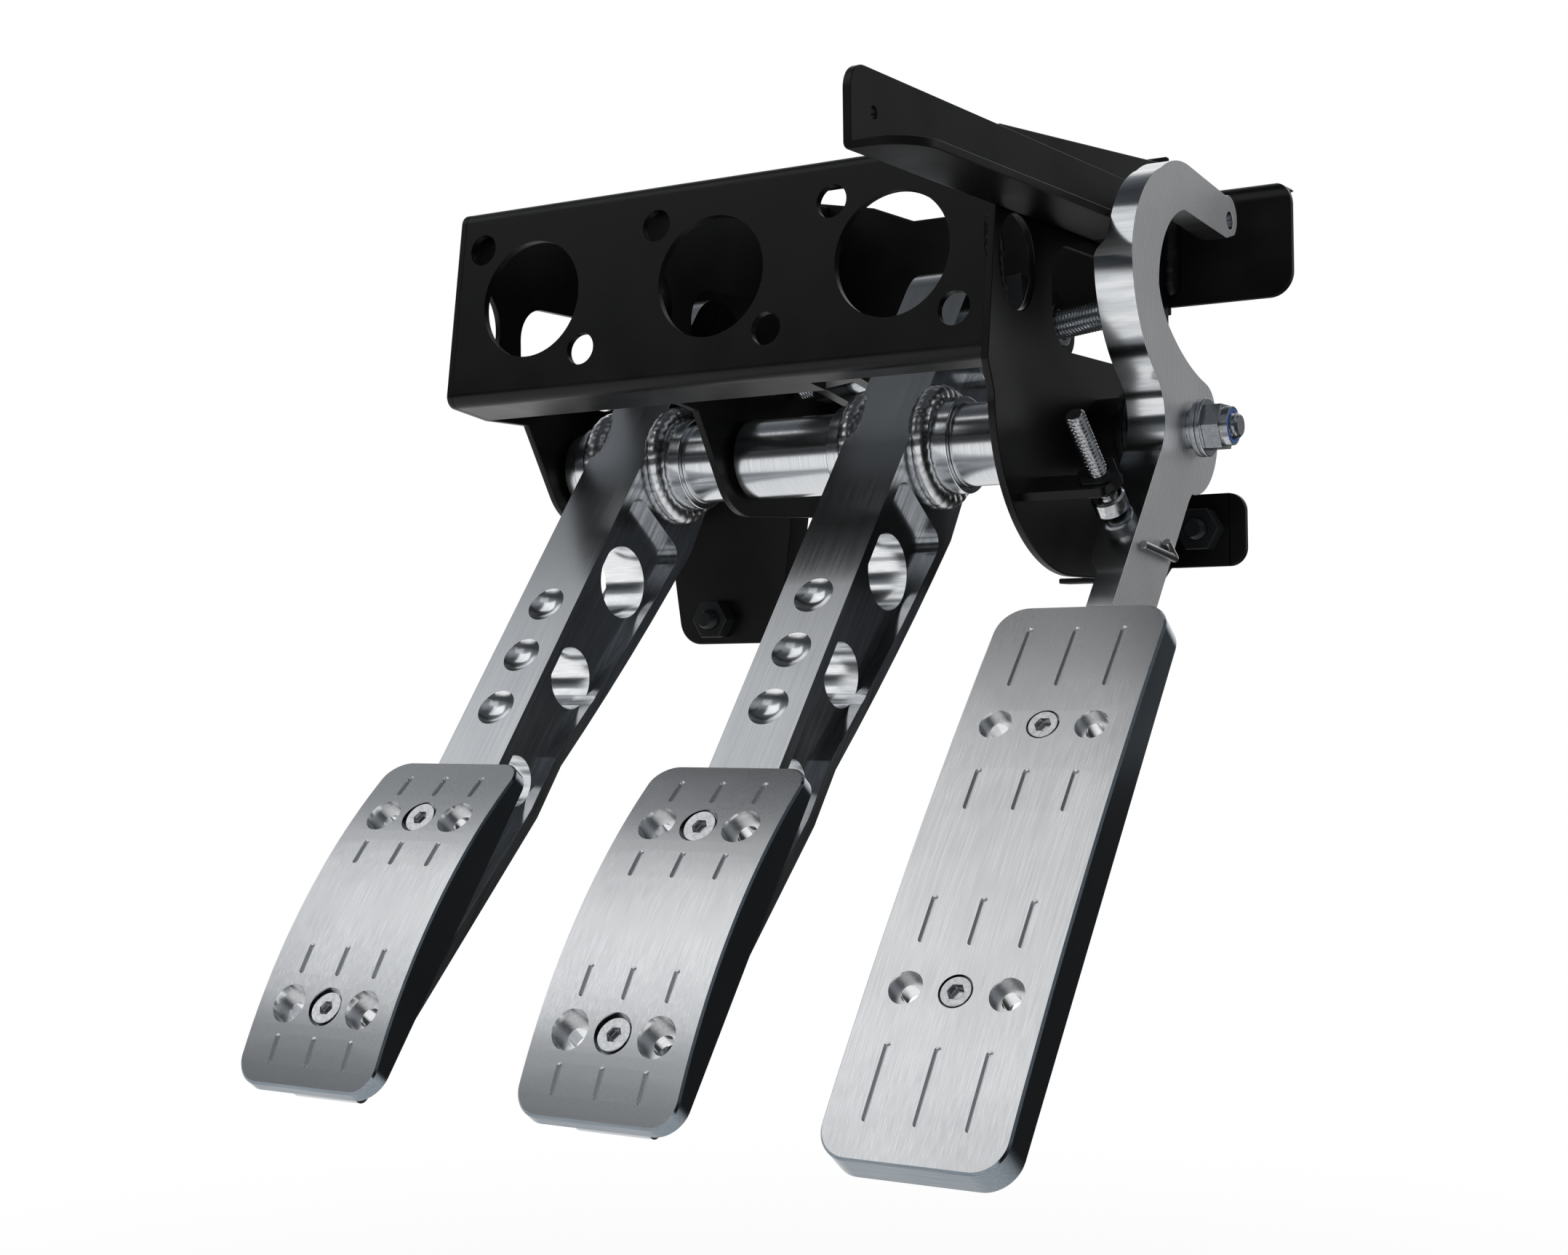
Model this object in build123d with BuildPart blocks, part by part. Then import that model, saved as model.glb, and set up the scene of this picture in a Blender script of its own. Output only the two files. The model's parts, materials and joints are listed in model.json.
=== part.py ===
from build123d import *
import os
from math import asin, cos, degrees, radians, sin, sqrt

os.makedirs("parts", exist_ok=True)

# Hanging pedal box. X is the driver's right, Y is forward, Z is up.
# The origin is the centre of the middle cylinder hole, on the face that looks at the driver.

# Clearances
fit_gap = 0.05
running_gap = 0.3

# Sheet steel frame
sheet = 2.5
bend = 4.0
plate_tilt = 8.3
plate_top = 32.5
plate_bottom = -33.5
flange_depth = 20.0
short_flange_depth = 11.0
right_lip = 5.0
left_wall_x = -102.0
centre_wall_x = -31.5
right_wall_x = 97.5
back_wall_y = 120.0
back_top = 36.0
left_top = 47.0
wall_crest_y = 60.0
left_wall_inner = left_wall_x + sheet
centre_wall_right = centre_wall_x + sheet
right_wall_outer = right_wall_x + sheet

# Cylinder holes in the front plate
clutch_cylinder_x = -69.8
front_brake_x = 0.0
rear_brake_x = 63.8
spigot_d = 38.5
cylinder_pcd = 57.15
cylinder_bolt_d = 10.3
cylinder_bolt_slope = 40.5
cylinder_x = [clutch_cylinder_x, front_brake_x, rear_brake_x]

# One through bolt carries all three pedals
pivot_y = 66.0
pivot_z = -50.0
pivot_bolt_d = 8.0
pivot_hex = 13.0
pivot_head = 5.3
pivot_washer_t = 1.6
pivot_washer_d = 17.5
pivot_nut_t = 5.2
nut_collar_t = 2.4
nut_collar_d = 11.6
nut_insert_d = 10.4
bolt_overhang = 2.2

# Clutch and brake arms
clutch_x = clutch_cylinder_x
brake_x = (front_brake_x + rear_brake_x) / 2
pedal_lean = 38.1
arm_width = 24.0
arm_setback = 17.0
arm_depth = 40.0
neck_depth = 25.5
arm_belly = 1.2
toe_depth = 10.0
arm_reach = 250.5
arm_flange = 4.0
pocket_depth = 4.0
pocket_corner = 5.0
head_radius = 16.5
head_height = 58.0
full_depth_below = 20.0
neck_above_pad = 20.0
pocket_above_toe = 40.0
clutch_lug_t = 9.0
clutch_lug_drop = 32.0
cutter_radius = 6.0
dimple_d = 13.0
dimple_first = -116.7
dimple_pitch = 20.9
dimple_depth = 3.0
web_hole_d = 24.0
web_hole_step = 4.0
web_hole_first = (2.7, -49.7)
web_hole_pitch = 42.8
web_hole_shift = 3.1

# Turned hubs and their bushes
hub_d = 26.6
hub_collar_d = 31.0
hub_collar_t = 10.0
bush_d = 12.0
bush_length = 15.0
bush_flange_d = 18.0
bush_flange_t = 1.5
weld_size = 3.5
bead_belly = 0.6

# Clutch and brake pads
pad_reach = 140.9
pad_length = 112.5
pad_width = 52.0
pad_thickness = 11.5
pad_end_t = 3.8
pad_corner = 8.0
pad_break = 0.6
hole_column = 14.0
pad_hole_rows = [23.5, 89.1]
pad_groove_rows = [(6.3, 8.8), (33.1, 9.1), (70.1, 9.7), (97.9, 8.9)]
groove_width = 1.9
groove_depth = 0.9
pad_counterbore_d = 11.6
pad_seat = 4.6

# Pad screws
screw_d = 6.0
screw_head_d = 10.0
screw_head_t = 3.8
screw_hex = 4.0
screw_hex_depth = 2.0
screw_length = 15.0

# Throttle arm
throttle_face_x = 129.5
throttle_thick = 12.0
throttle_thin = 8.0
throttle_lean = 38.4
throttle_setback = 14.1
throttle_rear = 10.5
throttle_toe_depth = 11.0
throttle_reach = 222.0
throttle_boss_r = 20.0
boss_top_angle = 44.0
boss_rear_angle = -20.0
boss_low_angle = -95.0
thick_top = 46.0
thick_bottom = -38.0
thick_run = 8.0
throttle_bush_out = 1.7
cable_hole = (32.8, 67.9)
cable_hole_d = 5.5
spring_wire_d = 2.6

# Throttle pad
throttle_pad_x = 124.7
throttle_pad_reach = 84.5
throttle_pad_length = 170.5
throttle_pad_width = 51.2
throttle_pad_front = 19.5
throttle_pad_bow = 2.9
throttle_pad_rim = 3.4
throttle_rim_width = 4.5
throttle_pad_corner = 9.0
throttle_hole_rows = [42.5, 124.2]
throttle_groove_rows = [(8.0, 21.2), (57.2, 13.4), (97.2, 14.0), (139.3, 21.1)]
throttle_counterbore_d = 9.4
throttle_screw_d = 5.0
throttle_screw_head_d = 8.5
throttle_screw_head_t = 3.0

# Boss and spacer between the right wall and the throttle arm
boss_d = 26.0
boss_t = 12.0
boss_rim_t = 3.0
boss_waist_d = 22.0
spacer_d = 18.0

# Throttle stop
stop_x = 120.9
stop_lean = 44.6
stop_along = -45.3
stop_thread_d = 6.0
stop_length = 30.0
stop_head_d = 10.0
stop_head_t = 6.0
stop_nut_hex = 11.0
stop_nut_t = 5.5
stop_under_tab = 3.2
stop_tab_x = 125.8
stop_tab_slope = 21.0
stop_tab_front = 11.0
stop_tab_rear = 5.0

# Balance bar across the head of the brake arm
bar_d = 9.5
bar_length = 117.0
bar_tilt = 7.0
bar_above_pivot = 44.5
bar_behind_pivot = 0.5
bar_tube_d = 26.5
bar_tube_bore = 22.2
bar_tube_length = 35.0
bar_ball_d = 22.0
bar_ball_width = 16.0
barrel_d = 14.0
barrel_length = 20.0
clevis_width = 19.0
clevis_ear_t = 4.0
clevis_ear_r = 10.5
clevis_reach = 26.0
clevis_base_t = 9.0
clevis_thread_d = 7.0
bar_nut_hex = 14.3
bar_nut_t = 8.0

# Walls that hang the pivot
wing_radius = 50.0
wing_ahead = 22.5
wing_above = 6.0
ear_radius = 19.0
ear_front_y = 35.5
window_front = 32.0
window_rear = 91.0
window_top = 4.6
window_bottom = -27.0
window_corner = 12.0
oval_y = 9.3
oval_z = -5.0
oval_width = 23.4
oval_height = 27.6
oval_rim = 3.5

# Top angle on the right wall
angle_front = -88.0
angle_rear = 85.0
angle_leg_rear = 57.0
angle_bottom = 8.3
angle_top = 31.0
angle_width = 20.5
angle_corner = 7.0
angle_leg_corner = 14.0
angle_hole_d = 3.3
angle_hole_inset = 11.5

# Bulkhead wall, its foot and its two lugs
raised_top = 46.0
raised_x = 62.0
left_top_end = -35.0
shoulder = (-11.0, 42.4)
dip_x = 5.0
band_bottom = -6.0
leg_right_x = -8.0
leg_bottom = -36.0
foot_right_x = -46.0
foot_right_z = -61.0
foot_taper = 7.0
foot_bottom = -110.7
foot_corner = 9.0
foot_flange = 12.0
foot_stud = (-78.7, -101.8)
lug_right_x = 141.8
lug_top = 33.7
lug_bottom = -3.6
lug_corner = 8.0
lug_bend = 6.0
lug_flange = 14.0
tab_right_x = 125.0
tab_top = -65.4
tab_bottom = -89.0
tab_corner = 6.0
tab_stud = (110.8, -77.0)
stud_d = 8.0
stud_neck_d = 7.0
stud_hole_d = 9.0
stud_front = 10.0
stud_rear = 16.0
stud_nut_hex = 13.0
stud_nut_t = 6.5
strip_left = 61.5
strip_z = -92.2
strip_t = 1.8
foot_plate_left = 70.0
foot_plate_right = 95.0
foot_plate_top = -60.0
foot_cut = 8.0
strip_depth = 8.0
lug_weld = 7.0


def side_plane(x):
    """Plane that faces +X, with its own x along +Y and its own y along +Z."""
    return Plane(origin=(x, 0, 0), x_dir=(0, 1, 0), z_dir=(1, 0, 0))


def wall_plane(y):
    """Plane that faces the driver, with its own x along +X and its own y along +Z."""
    return Plane(origin=(0, y, 0), x_dir=(1, 0, 0), z_dir=(0, -1, 0))


def leaning_plane(x, lean, y=pivot_y, z=pivot_z):
    """Plane that faces +X, whose own y leans forward from vertical and own x points rearward and down."""
    a = radians(lean)
    return Plane(origin=(x, y, z), x_dir=(0, cos(a), -sin(a)), z_dir=(1, 0, 0))


def facing_plane(x, lean, depth, along):
    """Plane that faces the driver square to an arm, at a depth behind and a height up from the pivot."""
    centre = leaning_plane(x, lean).from_local_coords((depth, along, 0))
    a = radians(lean)
    return Plane(origin=centre, x_dir=(1, 0, 0), z_dir=(0, -cos(a), sin(a)))


def channel_point(depth, height):
    """Point (y, z) of the tilted front channel, from its depth behind the face and its height."""
    t = radians(plate_tilt)
    return (depth * cos(t) + height * sin(t), height * cos(t) - depth * sin(t))


# Front channel with the three cylinder holes
with BuildPart() as cylinder_plate:
    plate_height = plate_top - plate_bottom
    plate_middle = (plate_top + plate_bottom) / 2
    with BuildSketch(leaning_plane(left_wall_inner, plate_tilt, 0, 0)) as section:
        with Locations((flange_depth / 2, plate_middle)):
            Rectangle(flange_depth, plate_height)
        fillet(section.vertices().sort_by(Axis.X)[:2], bend)
        with Locations((flange_depth + sheet, plate_middle)):
            RectangleRounded(2 * flange_depth, plate_height - 2 * sheet, bend - sheet, mode=Mode.SUBTRACT)
    extrude(amount=right_wall_x - left_wall_inner)
    with BuildSketch(leaning_plane(brake_x, plate_tilt, 0, 0)):
        with Locations((short_flange_depth + flange_depth / 2, plate_bottom + sheet / 2)):
            Rectangle(flange_depth, 2 * sheet)
    extrude(amount=right_wall_x - brake_x, mode=Mode.SUBTRACT)
    face = Plane(origin=(0, 0, 0), x_dir=(1, 0, 0), z_dir=leaning_plane(0, plate_tilt).x_dir * -1)
    with BuildSketch(face):
        with Locations([(x, 0) for x in cylinder_x]):
            Circle(spigot_d / 2)
            with PolarLocations(cylinder_pcd / 2, 2, start_angle=180 - cylinder_bolt_slope):
                Circle(cylinder_bolt_d / 2)
    extrude(amount=-2 * sheet, mode=Mode.SUBTRACT)
cylinder_plate.part.label = "cylinder_plate"
export_step(cylinder_plate.part, "parts/cylinder_plate.step")


def wall_openings():
    """Access oval, window and pivot hole that all the walls share, as cutters in a wall's own plane."""
    with BuildSketch() as cutters:
        with Locations((oval_y, oval_z)):
            Ellipse(oval_width / 2, oval_height / 2)
        with Locations(((window_front + window_rear) / 2, (window_top + window_bottom) / 2)):
            RectangleRounded(window_rear - window_front, window_top - window_bottom, window_corner)
        with Locations((pivot_y, pivot_z)):
            Circle(pivot_bolt_d / 2 + fit_gap)
    return cutters.sketch


def pivot_ear(top):
    """Rounded ear round the pivot bolt that widens upward to the underside of a wall."""
    with BuildSketch() as ear:
        with BuildLine():
            CenterArc((pivot_y, pivot_z), ear_radius, 0, 360)
            Polyline((ear_front_y, top), (back_wall_y, top), (back_wall_y, pivot_z - ear_radius + sheet))
        make_hull()
    return ear.sketch


def hanging_wall(x, front_depth, top_height, bottom_height):
    """Wall with a rounded ear round the pivot and a nose that reaches into the front channel."""
    nose_top = channel_point(front_depth, top_height)
    nose_bottom = channel_point(front_depth, bottom_height)
    ear_top = channel_point(flange_depth, plate_bottom)[1]
    cutters = wall_openings()
    ear = pivot_ear(ear_top)
    with BuildPart() as wall:
        with BuildSketch(side_plane(x)) as outline:
            with BuildLine():
                Polyline(
                    nose_bottom,
                    nose_top,
                    channel_point(flange_depth + running_gap, top_height),
                    (wall_crest_y, left_top - sheet),
                    (back_wall_y, left_top - sheet),
                    (back_wall_y, ear_top),
                    (ear_front_y, ear_top),
                    channel_point(flange_depth + running_gap, bottom_height),
                    close=True,
                )
            make_face()
            fillet(outline.vertices().sort_by(Axis.X)[:2], bend)
            add(ear)
            add(cutters, mode=Mode.SUBTRACT)
            with BuildLine():
                Polyline(
                    channel_point(front_depth, oval_z - oval_height / 2),
                    channel_point(front_depth, oval_z + oval_height / 2),
                    channel_point(front_depth + oval_rim, oval_z + oval_height / 2),
                    channel_point(front_depth + oval_rim, oval_z - oval_height / 2),
                    close=True,
                )
            make_face()
        extrude(amount=sheet)
    return wall.part


left_side_plate = hanging_wall(left_wall_x, 0, plate_top, plate_bottom)
left_side_plate.label = "left_side_plate"
export_step(left_side_plate, "parts/left_side_plate.step")

centre_pivot_plate = hanging_wall(
    centre_wall_x, bend, plate_top - sheet - running_gap, plate_bottom + sheet + running_gap
)
centre_pivot_plate.label = "centre_pivot_plate"
export_step(centre_pivot_plate, "parts/centre_pivot_plate.step")

# Right wall, which carries the throttle
with BuildPart() as right_side_plate:
    toe_y = pivot_y - wing_ahead
    arc_z = pivot_z + wing_above
    foot_z = arc_z - wing_radius
    chord = wing_radius * sqrt(0.5)
    right_openings = wall_openings()
    with BuildSketch(side_plane(right_wall_x)):
        with BuildLine():
            Polyline(
                (toe_y - wing_radius, arc_z),
                channel_point(-right_lip, plate_bottom - sheet),
                channel_point(-right_lip, plate_top),
                (back_wall_y, raised_top - sheet),
                (back_wall_y, tab_bottom),
                (back_wall_y - foot_cut, foot_z),
                (toe_y, foot_z),
            )
            ThreePointArc((toe_y, foot_z), (toe_y - chord, arc_z - chord), (toe_y - wing_radius, arc_z))
        make_face()
        add(right_openings, mode=Mode.SUBTRACT)
    extrude(amount=sheet)
right_side_plate.part.label = "right_side_plate"
export_step(right_side_plate.part, "parts/right_side_plate.step")

# Bulkhead wall with its left foot
with BuildPart() as back_plate:
    foot_right_end = foot_right_x - foot_taper
    with BuildSketch(wall_plane(back_wall_y)):
        with BuildLine():
            Polyline(
                (left_wall_x, left_top),
                (left_top_end, left_top),
                shoulder,
                (dip_x, back_top),
                (raised_x, back_top),
                (raised_x + raised_top - back_top, raised_top),
                (right_wall_outer, raised_top),
                (right_wall_outer, band_bottom),
                (leg_right_x, band_bottom),
                (leg_right_x, leg_bottom),
                (foot_right_x, foot_right_z),
                (foot_right_end, foot_bottom),
                (left_wall_x + foot_taper, foot_bottom),
                (left_wall_x, foot_right_z),
                close=True,
            )
        make_face()
        with Locations(foot_stud):
            Circle(stud_hole_d / 2, mode=Mode.SUBTRACT)
    extrude(amount=-sheet)
    foot_edges = back_plate.edges().filter_by(Axis.Y).group_by(Axis.Z)[0]
    fillet(foot_edges.sort_by(Axis.X)[0], foot_corner)
    upright_edges = back_plate.edges().filter_by(Axis.Y)
    band_edges = upright_edges.filter_by_position(Axis.Z, band_bottom - sheet, band_bottom + sheet)
    fillet(band_edges.sort_by(Axis.X)[0], foot_corner)
    with BuildSketch(wall_plane(back_wall_y)):
        with BuildLine():
            Polyline(
                (foot_right_x, foot_right_z),
                (foot_right_end, foot_bottom),
                (foot_right_end - sheet, foot_bottom),
                (foot_right_x - sheet, foot_right_z),
                close=True,
            )
        make_face()
    extrude(amount=-foot_flange)
back_plate.part.label = "back_plate"
export_step(back_plate.part, "parts/back_plate.step")

# Upper lug, with its top edge bent forward
with BuildPart() as bulkhead_lug:
    with BuildSketch(side_plane(right_wall_outer)) as section:
        with Locations((back_wall_y + lug_flange / 2, (lug_top + lug_bottom) / 2)):
            Rectangle(lug_flange, lug_top - lug_bottom)
        fillet(section.vertices().group_by(Axis.Y)[-1].sort_by(Axis.X)[0], lug_bend)
        with Locations((back_wall_y + sheet + lug_flange, lug_top - sheet - lug_top + lug_bottom)):
            RectangleRounded(
                2 * lug_flange, 2 * (lug_top - lug_bottom), lug_bend - sheet, mode=Mode.SUBTRACT
            )
    extrude(amount=lug_right_x - right_wall_outer)
    with BuildSketch(wall_plane(back_wall_y)) as outline:
        with Locations(((right_wall_outer + lug_right_x) / 2, (lug_top + lug_bottom) / 2)):
            Rectangle(lug_right_x - right_wall_outer, lug_top - lug_bottom)
        fillet(outline.vertices().sort_by(Axis.X)[2:], lug_corner)
    extrude(amount=-2 * lug_flange, mode=Mode.INTERSECT)
    with BuildSketch(Plane.XY.offset(lug_bottom)) as plan:
        with Locations(((right_wall_outer + lug_right_x) / 2, back_wall_y + lug_flange / 2)):
            Rectangle(lug_right_x - right_wall_outer, lug_flange)
        fillet(plan.vertices().group_by(Axis.Y)[-1].sort_by(Axis.X)[-1], lug_flange - sheet - running_gap)
    extrude(amount=lug_top - lug_bottom, mode=Mode.INTERSECT)
bulkhead_lug.part.label = "bulkhead_lug"
export_step(bulkhead_lug.part, "parts/bulkhead_lug.step")

# Lower tab with the second stud
with BuildPart() as bulkhead_tab:
    with BuildSketch(wall_plane(back_wall_y)) as outline:
        with Locations(((right_wall_outer + tab_right_x) / 2, (tab_top + tab_bottom) / 2)):
            Rectangle(tab_right_x - right_wall_outer, tab_top - tab_bottom)
        fillet(outline.vertices().sort_by(Axis.X)[2:], tab_corner)
        with Locations(tab_stud):
            Circle(stud_hole_d / 2, mode=Mode.SUBTRACT)
    extrude(amount=-sheet)
bulkhead_tab.part.label = "bulkhead_tab"
export_step(bulkhead_tab.part, "parts/bulkhead_tab.step")

# Foot plate behind the right wall, with a narrow strip bent towards the driver along its bottom
with BuildPart() as lower_strip:
    strip_bottom = strip_z - strip_t / 2
    with BuildSketch(wall_plane(back_wall_y + sheet)):
        with Locations(((strip_left + foot_plate_right) / 2, strip_z)):
            Rectangle(foot_plate_right - strip_left, strip_t)
    extrude(amount=strip_depth)
    with BuildSketch(wall_plane(back_wall_y)):
        with BuildLine():
            Polyline(
                (foot_plate_left, strip_bottom),
                (foot_plate_right, strip_bottom),
                (foot_plate_right, tab_bottom),
                (right_wall_outer, tab_bottom),
                (right_wall_outer, foot_plate_top),
                (foot_plate_left, foot_plate_top),
                close=True,
            )
        make_face()
    extrude(amount=-sheet)
lower_strip.part.label = "lower_strip"
export_step(lower_strip.part, "parts/lower_strip.step")

# Studs that go through the bulkhead, and the nuts that hold them in the wall
with BuildPart() as bulkhead_studs:
    with BuildSketch(wall_plane(back_wall_y - stud_front)):
        with Locations(foot_stud, tab_stud):
            Circle(stud_neck_d / 2)
    extrude(amount=-(stud_front + sheet))
    with BuildSketch(wall_plane(back_wall_y + sheet)):
        with Locations(foot_stud, tab_stud):
            Circle(stud_d / 2)
    extrude(amount=-stud_rear)
    chamfer(bulkhead_studs.edges().group_by(Axis.Y)[0], stud_d / 10)
    chamfer(bulkhead_studs.edges().group_by(Axis.Y)[-1], stud_d / 10)
bulkhead_studs.part.label = "bulkhead_studs"
export_step(bulkhead_studs.part, "parts/bulkhead_studs.step")

with BuildPart() as bulkhead_nuts:
    with BuildSketch(wall_plane(back_wall_y)):
        with Locations(foot_stud, tab_stud):
            RegularPolygon(stud_nut_hex / 2, 6, major_radius=False)
            Circle(stud_neck_d / 2 + fit_gap, mode=Mode.SUBTRACT)
    extrude(amount=stud_nut_t)
bulkhead_nuts.part.label = "bulkhead_nuts"
export_step(bulkhead_nuts.part, "parts/bulkhead_nuts.step")

# Long angle on the outside of the right wall
with BuildPart() as top_angle:
    with BuildSketch(side_plane(right_wall_outer)) as upright:
        with Locations(((angle_front + angle_rear) / 2, (angle_bottom + angle_top) / 2)):
            Rectangle(angle_rear - angle_front, angle_top - angle_bottom)
        fillet(upright.vertices().sort_by(Axis.X)[:2].sort_by(Axis.Y)[-1], angle_corner)
        with Locations((angle_front + angle_hole_inset, angle_bottom + angle_hole_inset)):
            Circle(angle_hole_d / 2, mode=Mode.SUBTRACT)
    extrude(amount=sheet)
    with BuildSketch(Plane.XY.offset(angle_bottom)) as leg:
        with Locations((right_wall_outer + angle_width / 2, (angle_front + angle_leg_rear) / 2)):
            Rectangle(angle_width, angle_leg_rear - angle_front)
        fillet(leg.vertices().sort_by(Axis.Y)[:2].sort_by(Axis.X)[-1], angle_leg_corner)
    extrude(amount=sheet)
    fold = top_angle.edges().filter_by(Axis.Y).group_by(Axis.Z)[0].sort_by(Axis.X)[0]
    fillet(fold, sheet - running_gap)
top_angle.part.label = "top_angle"
export_step(top_angle.part, "parts/top_angle.step")

# Weld beads in the corners of the frame
with BuildPart() as frame_welds:
    bead = right_lip - running_gap
    channel_corner = (right_wall_x, *channel_point(0, plate_bottom + bend))
    up_the_channel = leaning_plane(0, plate_tilt).y_dir
    with BuildSketch(Plane(origin=channel_corner, x_dir=(-1, 0, 0), z_dir=up_the_channel)):
        with BuildLine():
            Polyline((0, bead), (0, 0), (bead, 0))
            ThreePointArc((bead, 0), (bead * bead_belly, bead * bead_belly), (0, bead))
        make_face()
    extrude(amount=angle_bottom - plate_bottom - bend)
    lug_corner_low = (right_wall_outer, back_wall_y, lug_bottom + sheet)
    belly = lug_weld * bead_belly
    with BuildSketch(Plane(origin=lug_corner_low, x_dir=(1, 0, 0), z_dir=(0, 0, 1))):
        with BuildLine():
            Polyline((0, -lug_weld), (0, 0), (lug_weld, 0))
            ThreePointArc((lug_weld, 0), (belly, -belly), (0, -lug_weld))
        make_face()
    extrude(amount=lug_top - lug_bottom - lug_bend - sheet)
frame_welds.part.label = "frame_welds"
export_step(frame_welds.part, "parts/frame_welds.step")


def hub_ends(name):
    """Left and right ends of the space that a pedal's hub fills between two walls."""
    if name == "clutch":
        return left_wall_inner, centre_wall_x
    return centre_wall_right, right_wall_x


def pedal_hub(x, left, right):
    """Turned hub with a shoulder on each side of its arm, bored for two bushes."""
    end_gap = running_gap + bush_flange_t
    with BuildPart() as hub:
        with BuildSketch(leaning_plane(left + end_gap, 0)):
            Circle(hub_d / 2)
        extrude(amount=right - left - 2 * end_gap)
        left_collar = x - arm_width / 2 - hub_collar_t
        with BuildSketch(leaning_plane(x + arm_width / 2, 0), leaning_plane(left_collar, 0)):
            Circle(hub_collar_d / 2)
        extrude(amount=hub_collar_t)
        with BuildSketch(leaning_plane(left, 0)):
            Circle(bush_d / 2 + fit_gap)
        extrude(amount=right - left, mode=Mode.SUBTRACT)
    return hub.part


def pedal_bushes(left, right):
    """Two flanged bushes, one in each end of a hub."""
    with BuildPart() as bushes:
        for end, way in ((left, 1), (right, -1)):
            with BuildSketch(leaning_plane(end + way * running_gap, 0)):
                Circle(bush_flange_d / 2)
            extrude(amount=way * bush_flange_t)
            with BuildSketch(leaning_plane(end + way * (running_gap + bush_flange_t), 0)):
                Circle(bush_d / 2)
            extrude(amount=way * bush_length)
        with BuildSketch(leaning_plane(left, 0)):
            Circle(pivot_bolt_d / 2 + fit_gap)
        extrude(amount=right - left, mode=Mode.SUBTRACT)
    return bushes.part


def hub_welds(x):
    """Weld bead round each shoulder of a hub, where it meets the face of the arm."""
    with BuildPart() as welds:
        for way in (1, -1):
            face_x = x + way * arm_width / 2
            corner = Plane(origin=(face_x, pivot_y, pivot_z), x_dir=(way, 0, 0), z_dir=(0, 1, 0))
            with BuildSketch(corner):
                with BuildLine():
                    inner = hub_collar_d / 2 + fit_gap
                    belly = weld_size * bead_belly
                    Polyline((0, inner + weld_size), (0, inner), (weld_size, inner))
                    ThreePointArc((weld_size, inner), (belly, inner + belly), (0, inner + weld_size))
                make_face()
            revolve(axis=Axis((x, pivot_y, pivot_z), (1, 0, 0)))
    return welds.part


def arm_outline():
    """Side outline of a clutch or brake arm in its own plane, from the toe behind the pad to the head."""
    front = -arm_setback
    head_x = front + head_radius
    neck_top = -pad_reach + neck_above_pad
    with BuildSketch() as outline:
        with BuildLine():
            Line((front, -arm_reach), (front, head_height))
            ThreePointArc(
                (front, head_height),
                (head_x, head_height + head_radius),
                (front + 2 * head_radius, head_height),
            )
            Line((front + 2 * head_radius, head_height), (front + arm_depth, -full_depth_below))
            ThreePointArc(
                (front + arm_depth, -full_depth_below),
                (front + (arm_depth + neck_depth) / 2 + arm_belly, (neck_top - full_depth_below) / 2),
                (front + neck_depth, neck_top),
            )
            Polyline(
                (front + neck_depth, neck_top),
                (front + neck_depth, -pad_reach),
                (front + toe_depth, -arm_reach),
                (front, -arm_reach),
            )
        make_face()
    return outline.sketch


def pedal_arm(x):
    """I-section arm with its hub bore, pockets, web holes, dimples and pad screw holes."""
    outline = arm_outline()
    right_face = x + arm_width / 2
    pocket_top = -full_depth_below - arm_flange
    pocket_bottom = -arm_reach + pocket_above_toe
    with BuildPart() as arm:
        with BuildSketch(leaning_plane(x - arm_width / 2, pedal_lean)):
            add(outline)
        extrude(amount=arm_width)
        toe_edges = arm.edges().filter_by(Axis.X).group_by(Axis.Z)[0]
        fillet(toe_edges, toe_depth / 3)
        for face_x, way in ((right_face, -1), (x - arm_width / 2, 1)):
            with BuildSketch(leaning_plane(face_x, pedal_lean)) as pocket:
                add(outline)
                offset(amount=-arm_flange)
                with Locations((0, (pocket_top + pocket_bottom) / 2)):
                    Rectangle(4 * arm_depth, pocket_top - pocket_bottom, mode=Mode.INTERSECT)
                fillet(pocket.vertices().group_by(Axis.Y)[-1], pocket_corner)
                fillet(pocket.vertices().group_by(Axis.Y)[0], arm_flange / 3)
            extrude(amount=way * pocket_depth, mode=Mode.SUBTRACT)
        with BuildSketch(leaning_plane(x - arm_width / 2, pedal_lean)):
            for i in range(3):
                hole_along = web_hole_first[1] - i * web_hole_pitch
                with Locations((web_hole_first[0] - i * web_hole_shift, hole_along)):
                    Circle((web_hole_d - i * web_hole_step) / 2)
            Circle(hub_d / 2 + fit_gap)
        extrude(amount=arm_width, mode=Mode.SUBTRACT)
        ball = (dimple_d**2 / 4 + dimple_depth**2) / (2 * dimple_depth)
        places = [(dimple_depth - ball - arm_setback, dimple_first + i * dimple_pitch, 0) for i in range(3)]
        with Locations([leaning_plane(x, pedal_lean).from_local_coords(place) for place in places]):
            Sphere(ball, mode=Mode.SUBTRACT)
        with BuildSketch(facing_plane(x, pedal_lean, -arm_setback, 0)):
            with Locations([(0, -pad_reach - row) for row in pad_hole_rows]):
                Circle(screw_d / 2 + fit_gap)
        extrude(amount=-(screw_length - pad_seat + sheet), mode=Mode.SUBTRACT)
    return arm.part


def pad_surface_plane(x, row_centre):
    """Plane on the domed face of a clutch or brake pad, at a distance down from the pad's top edge."""
    sagitta = pad_thickness - pad_end_t
    radius = (pad_length**2 / 4 + sagitta**2) / (2 * sagitta)
    offset_up = pad_length / 2 - row_centre
    turn = asin(offset_up / radius)
    depth = -arm_setback - pad_thickness + radius * (1 - cos(turn))
    along = -pad_reach - row_centre
    return facing_plane(x, pedal_lean, depth, along).rotated((-degrees(turn), 0, 0))


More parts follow.
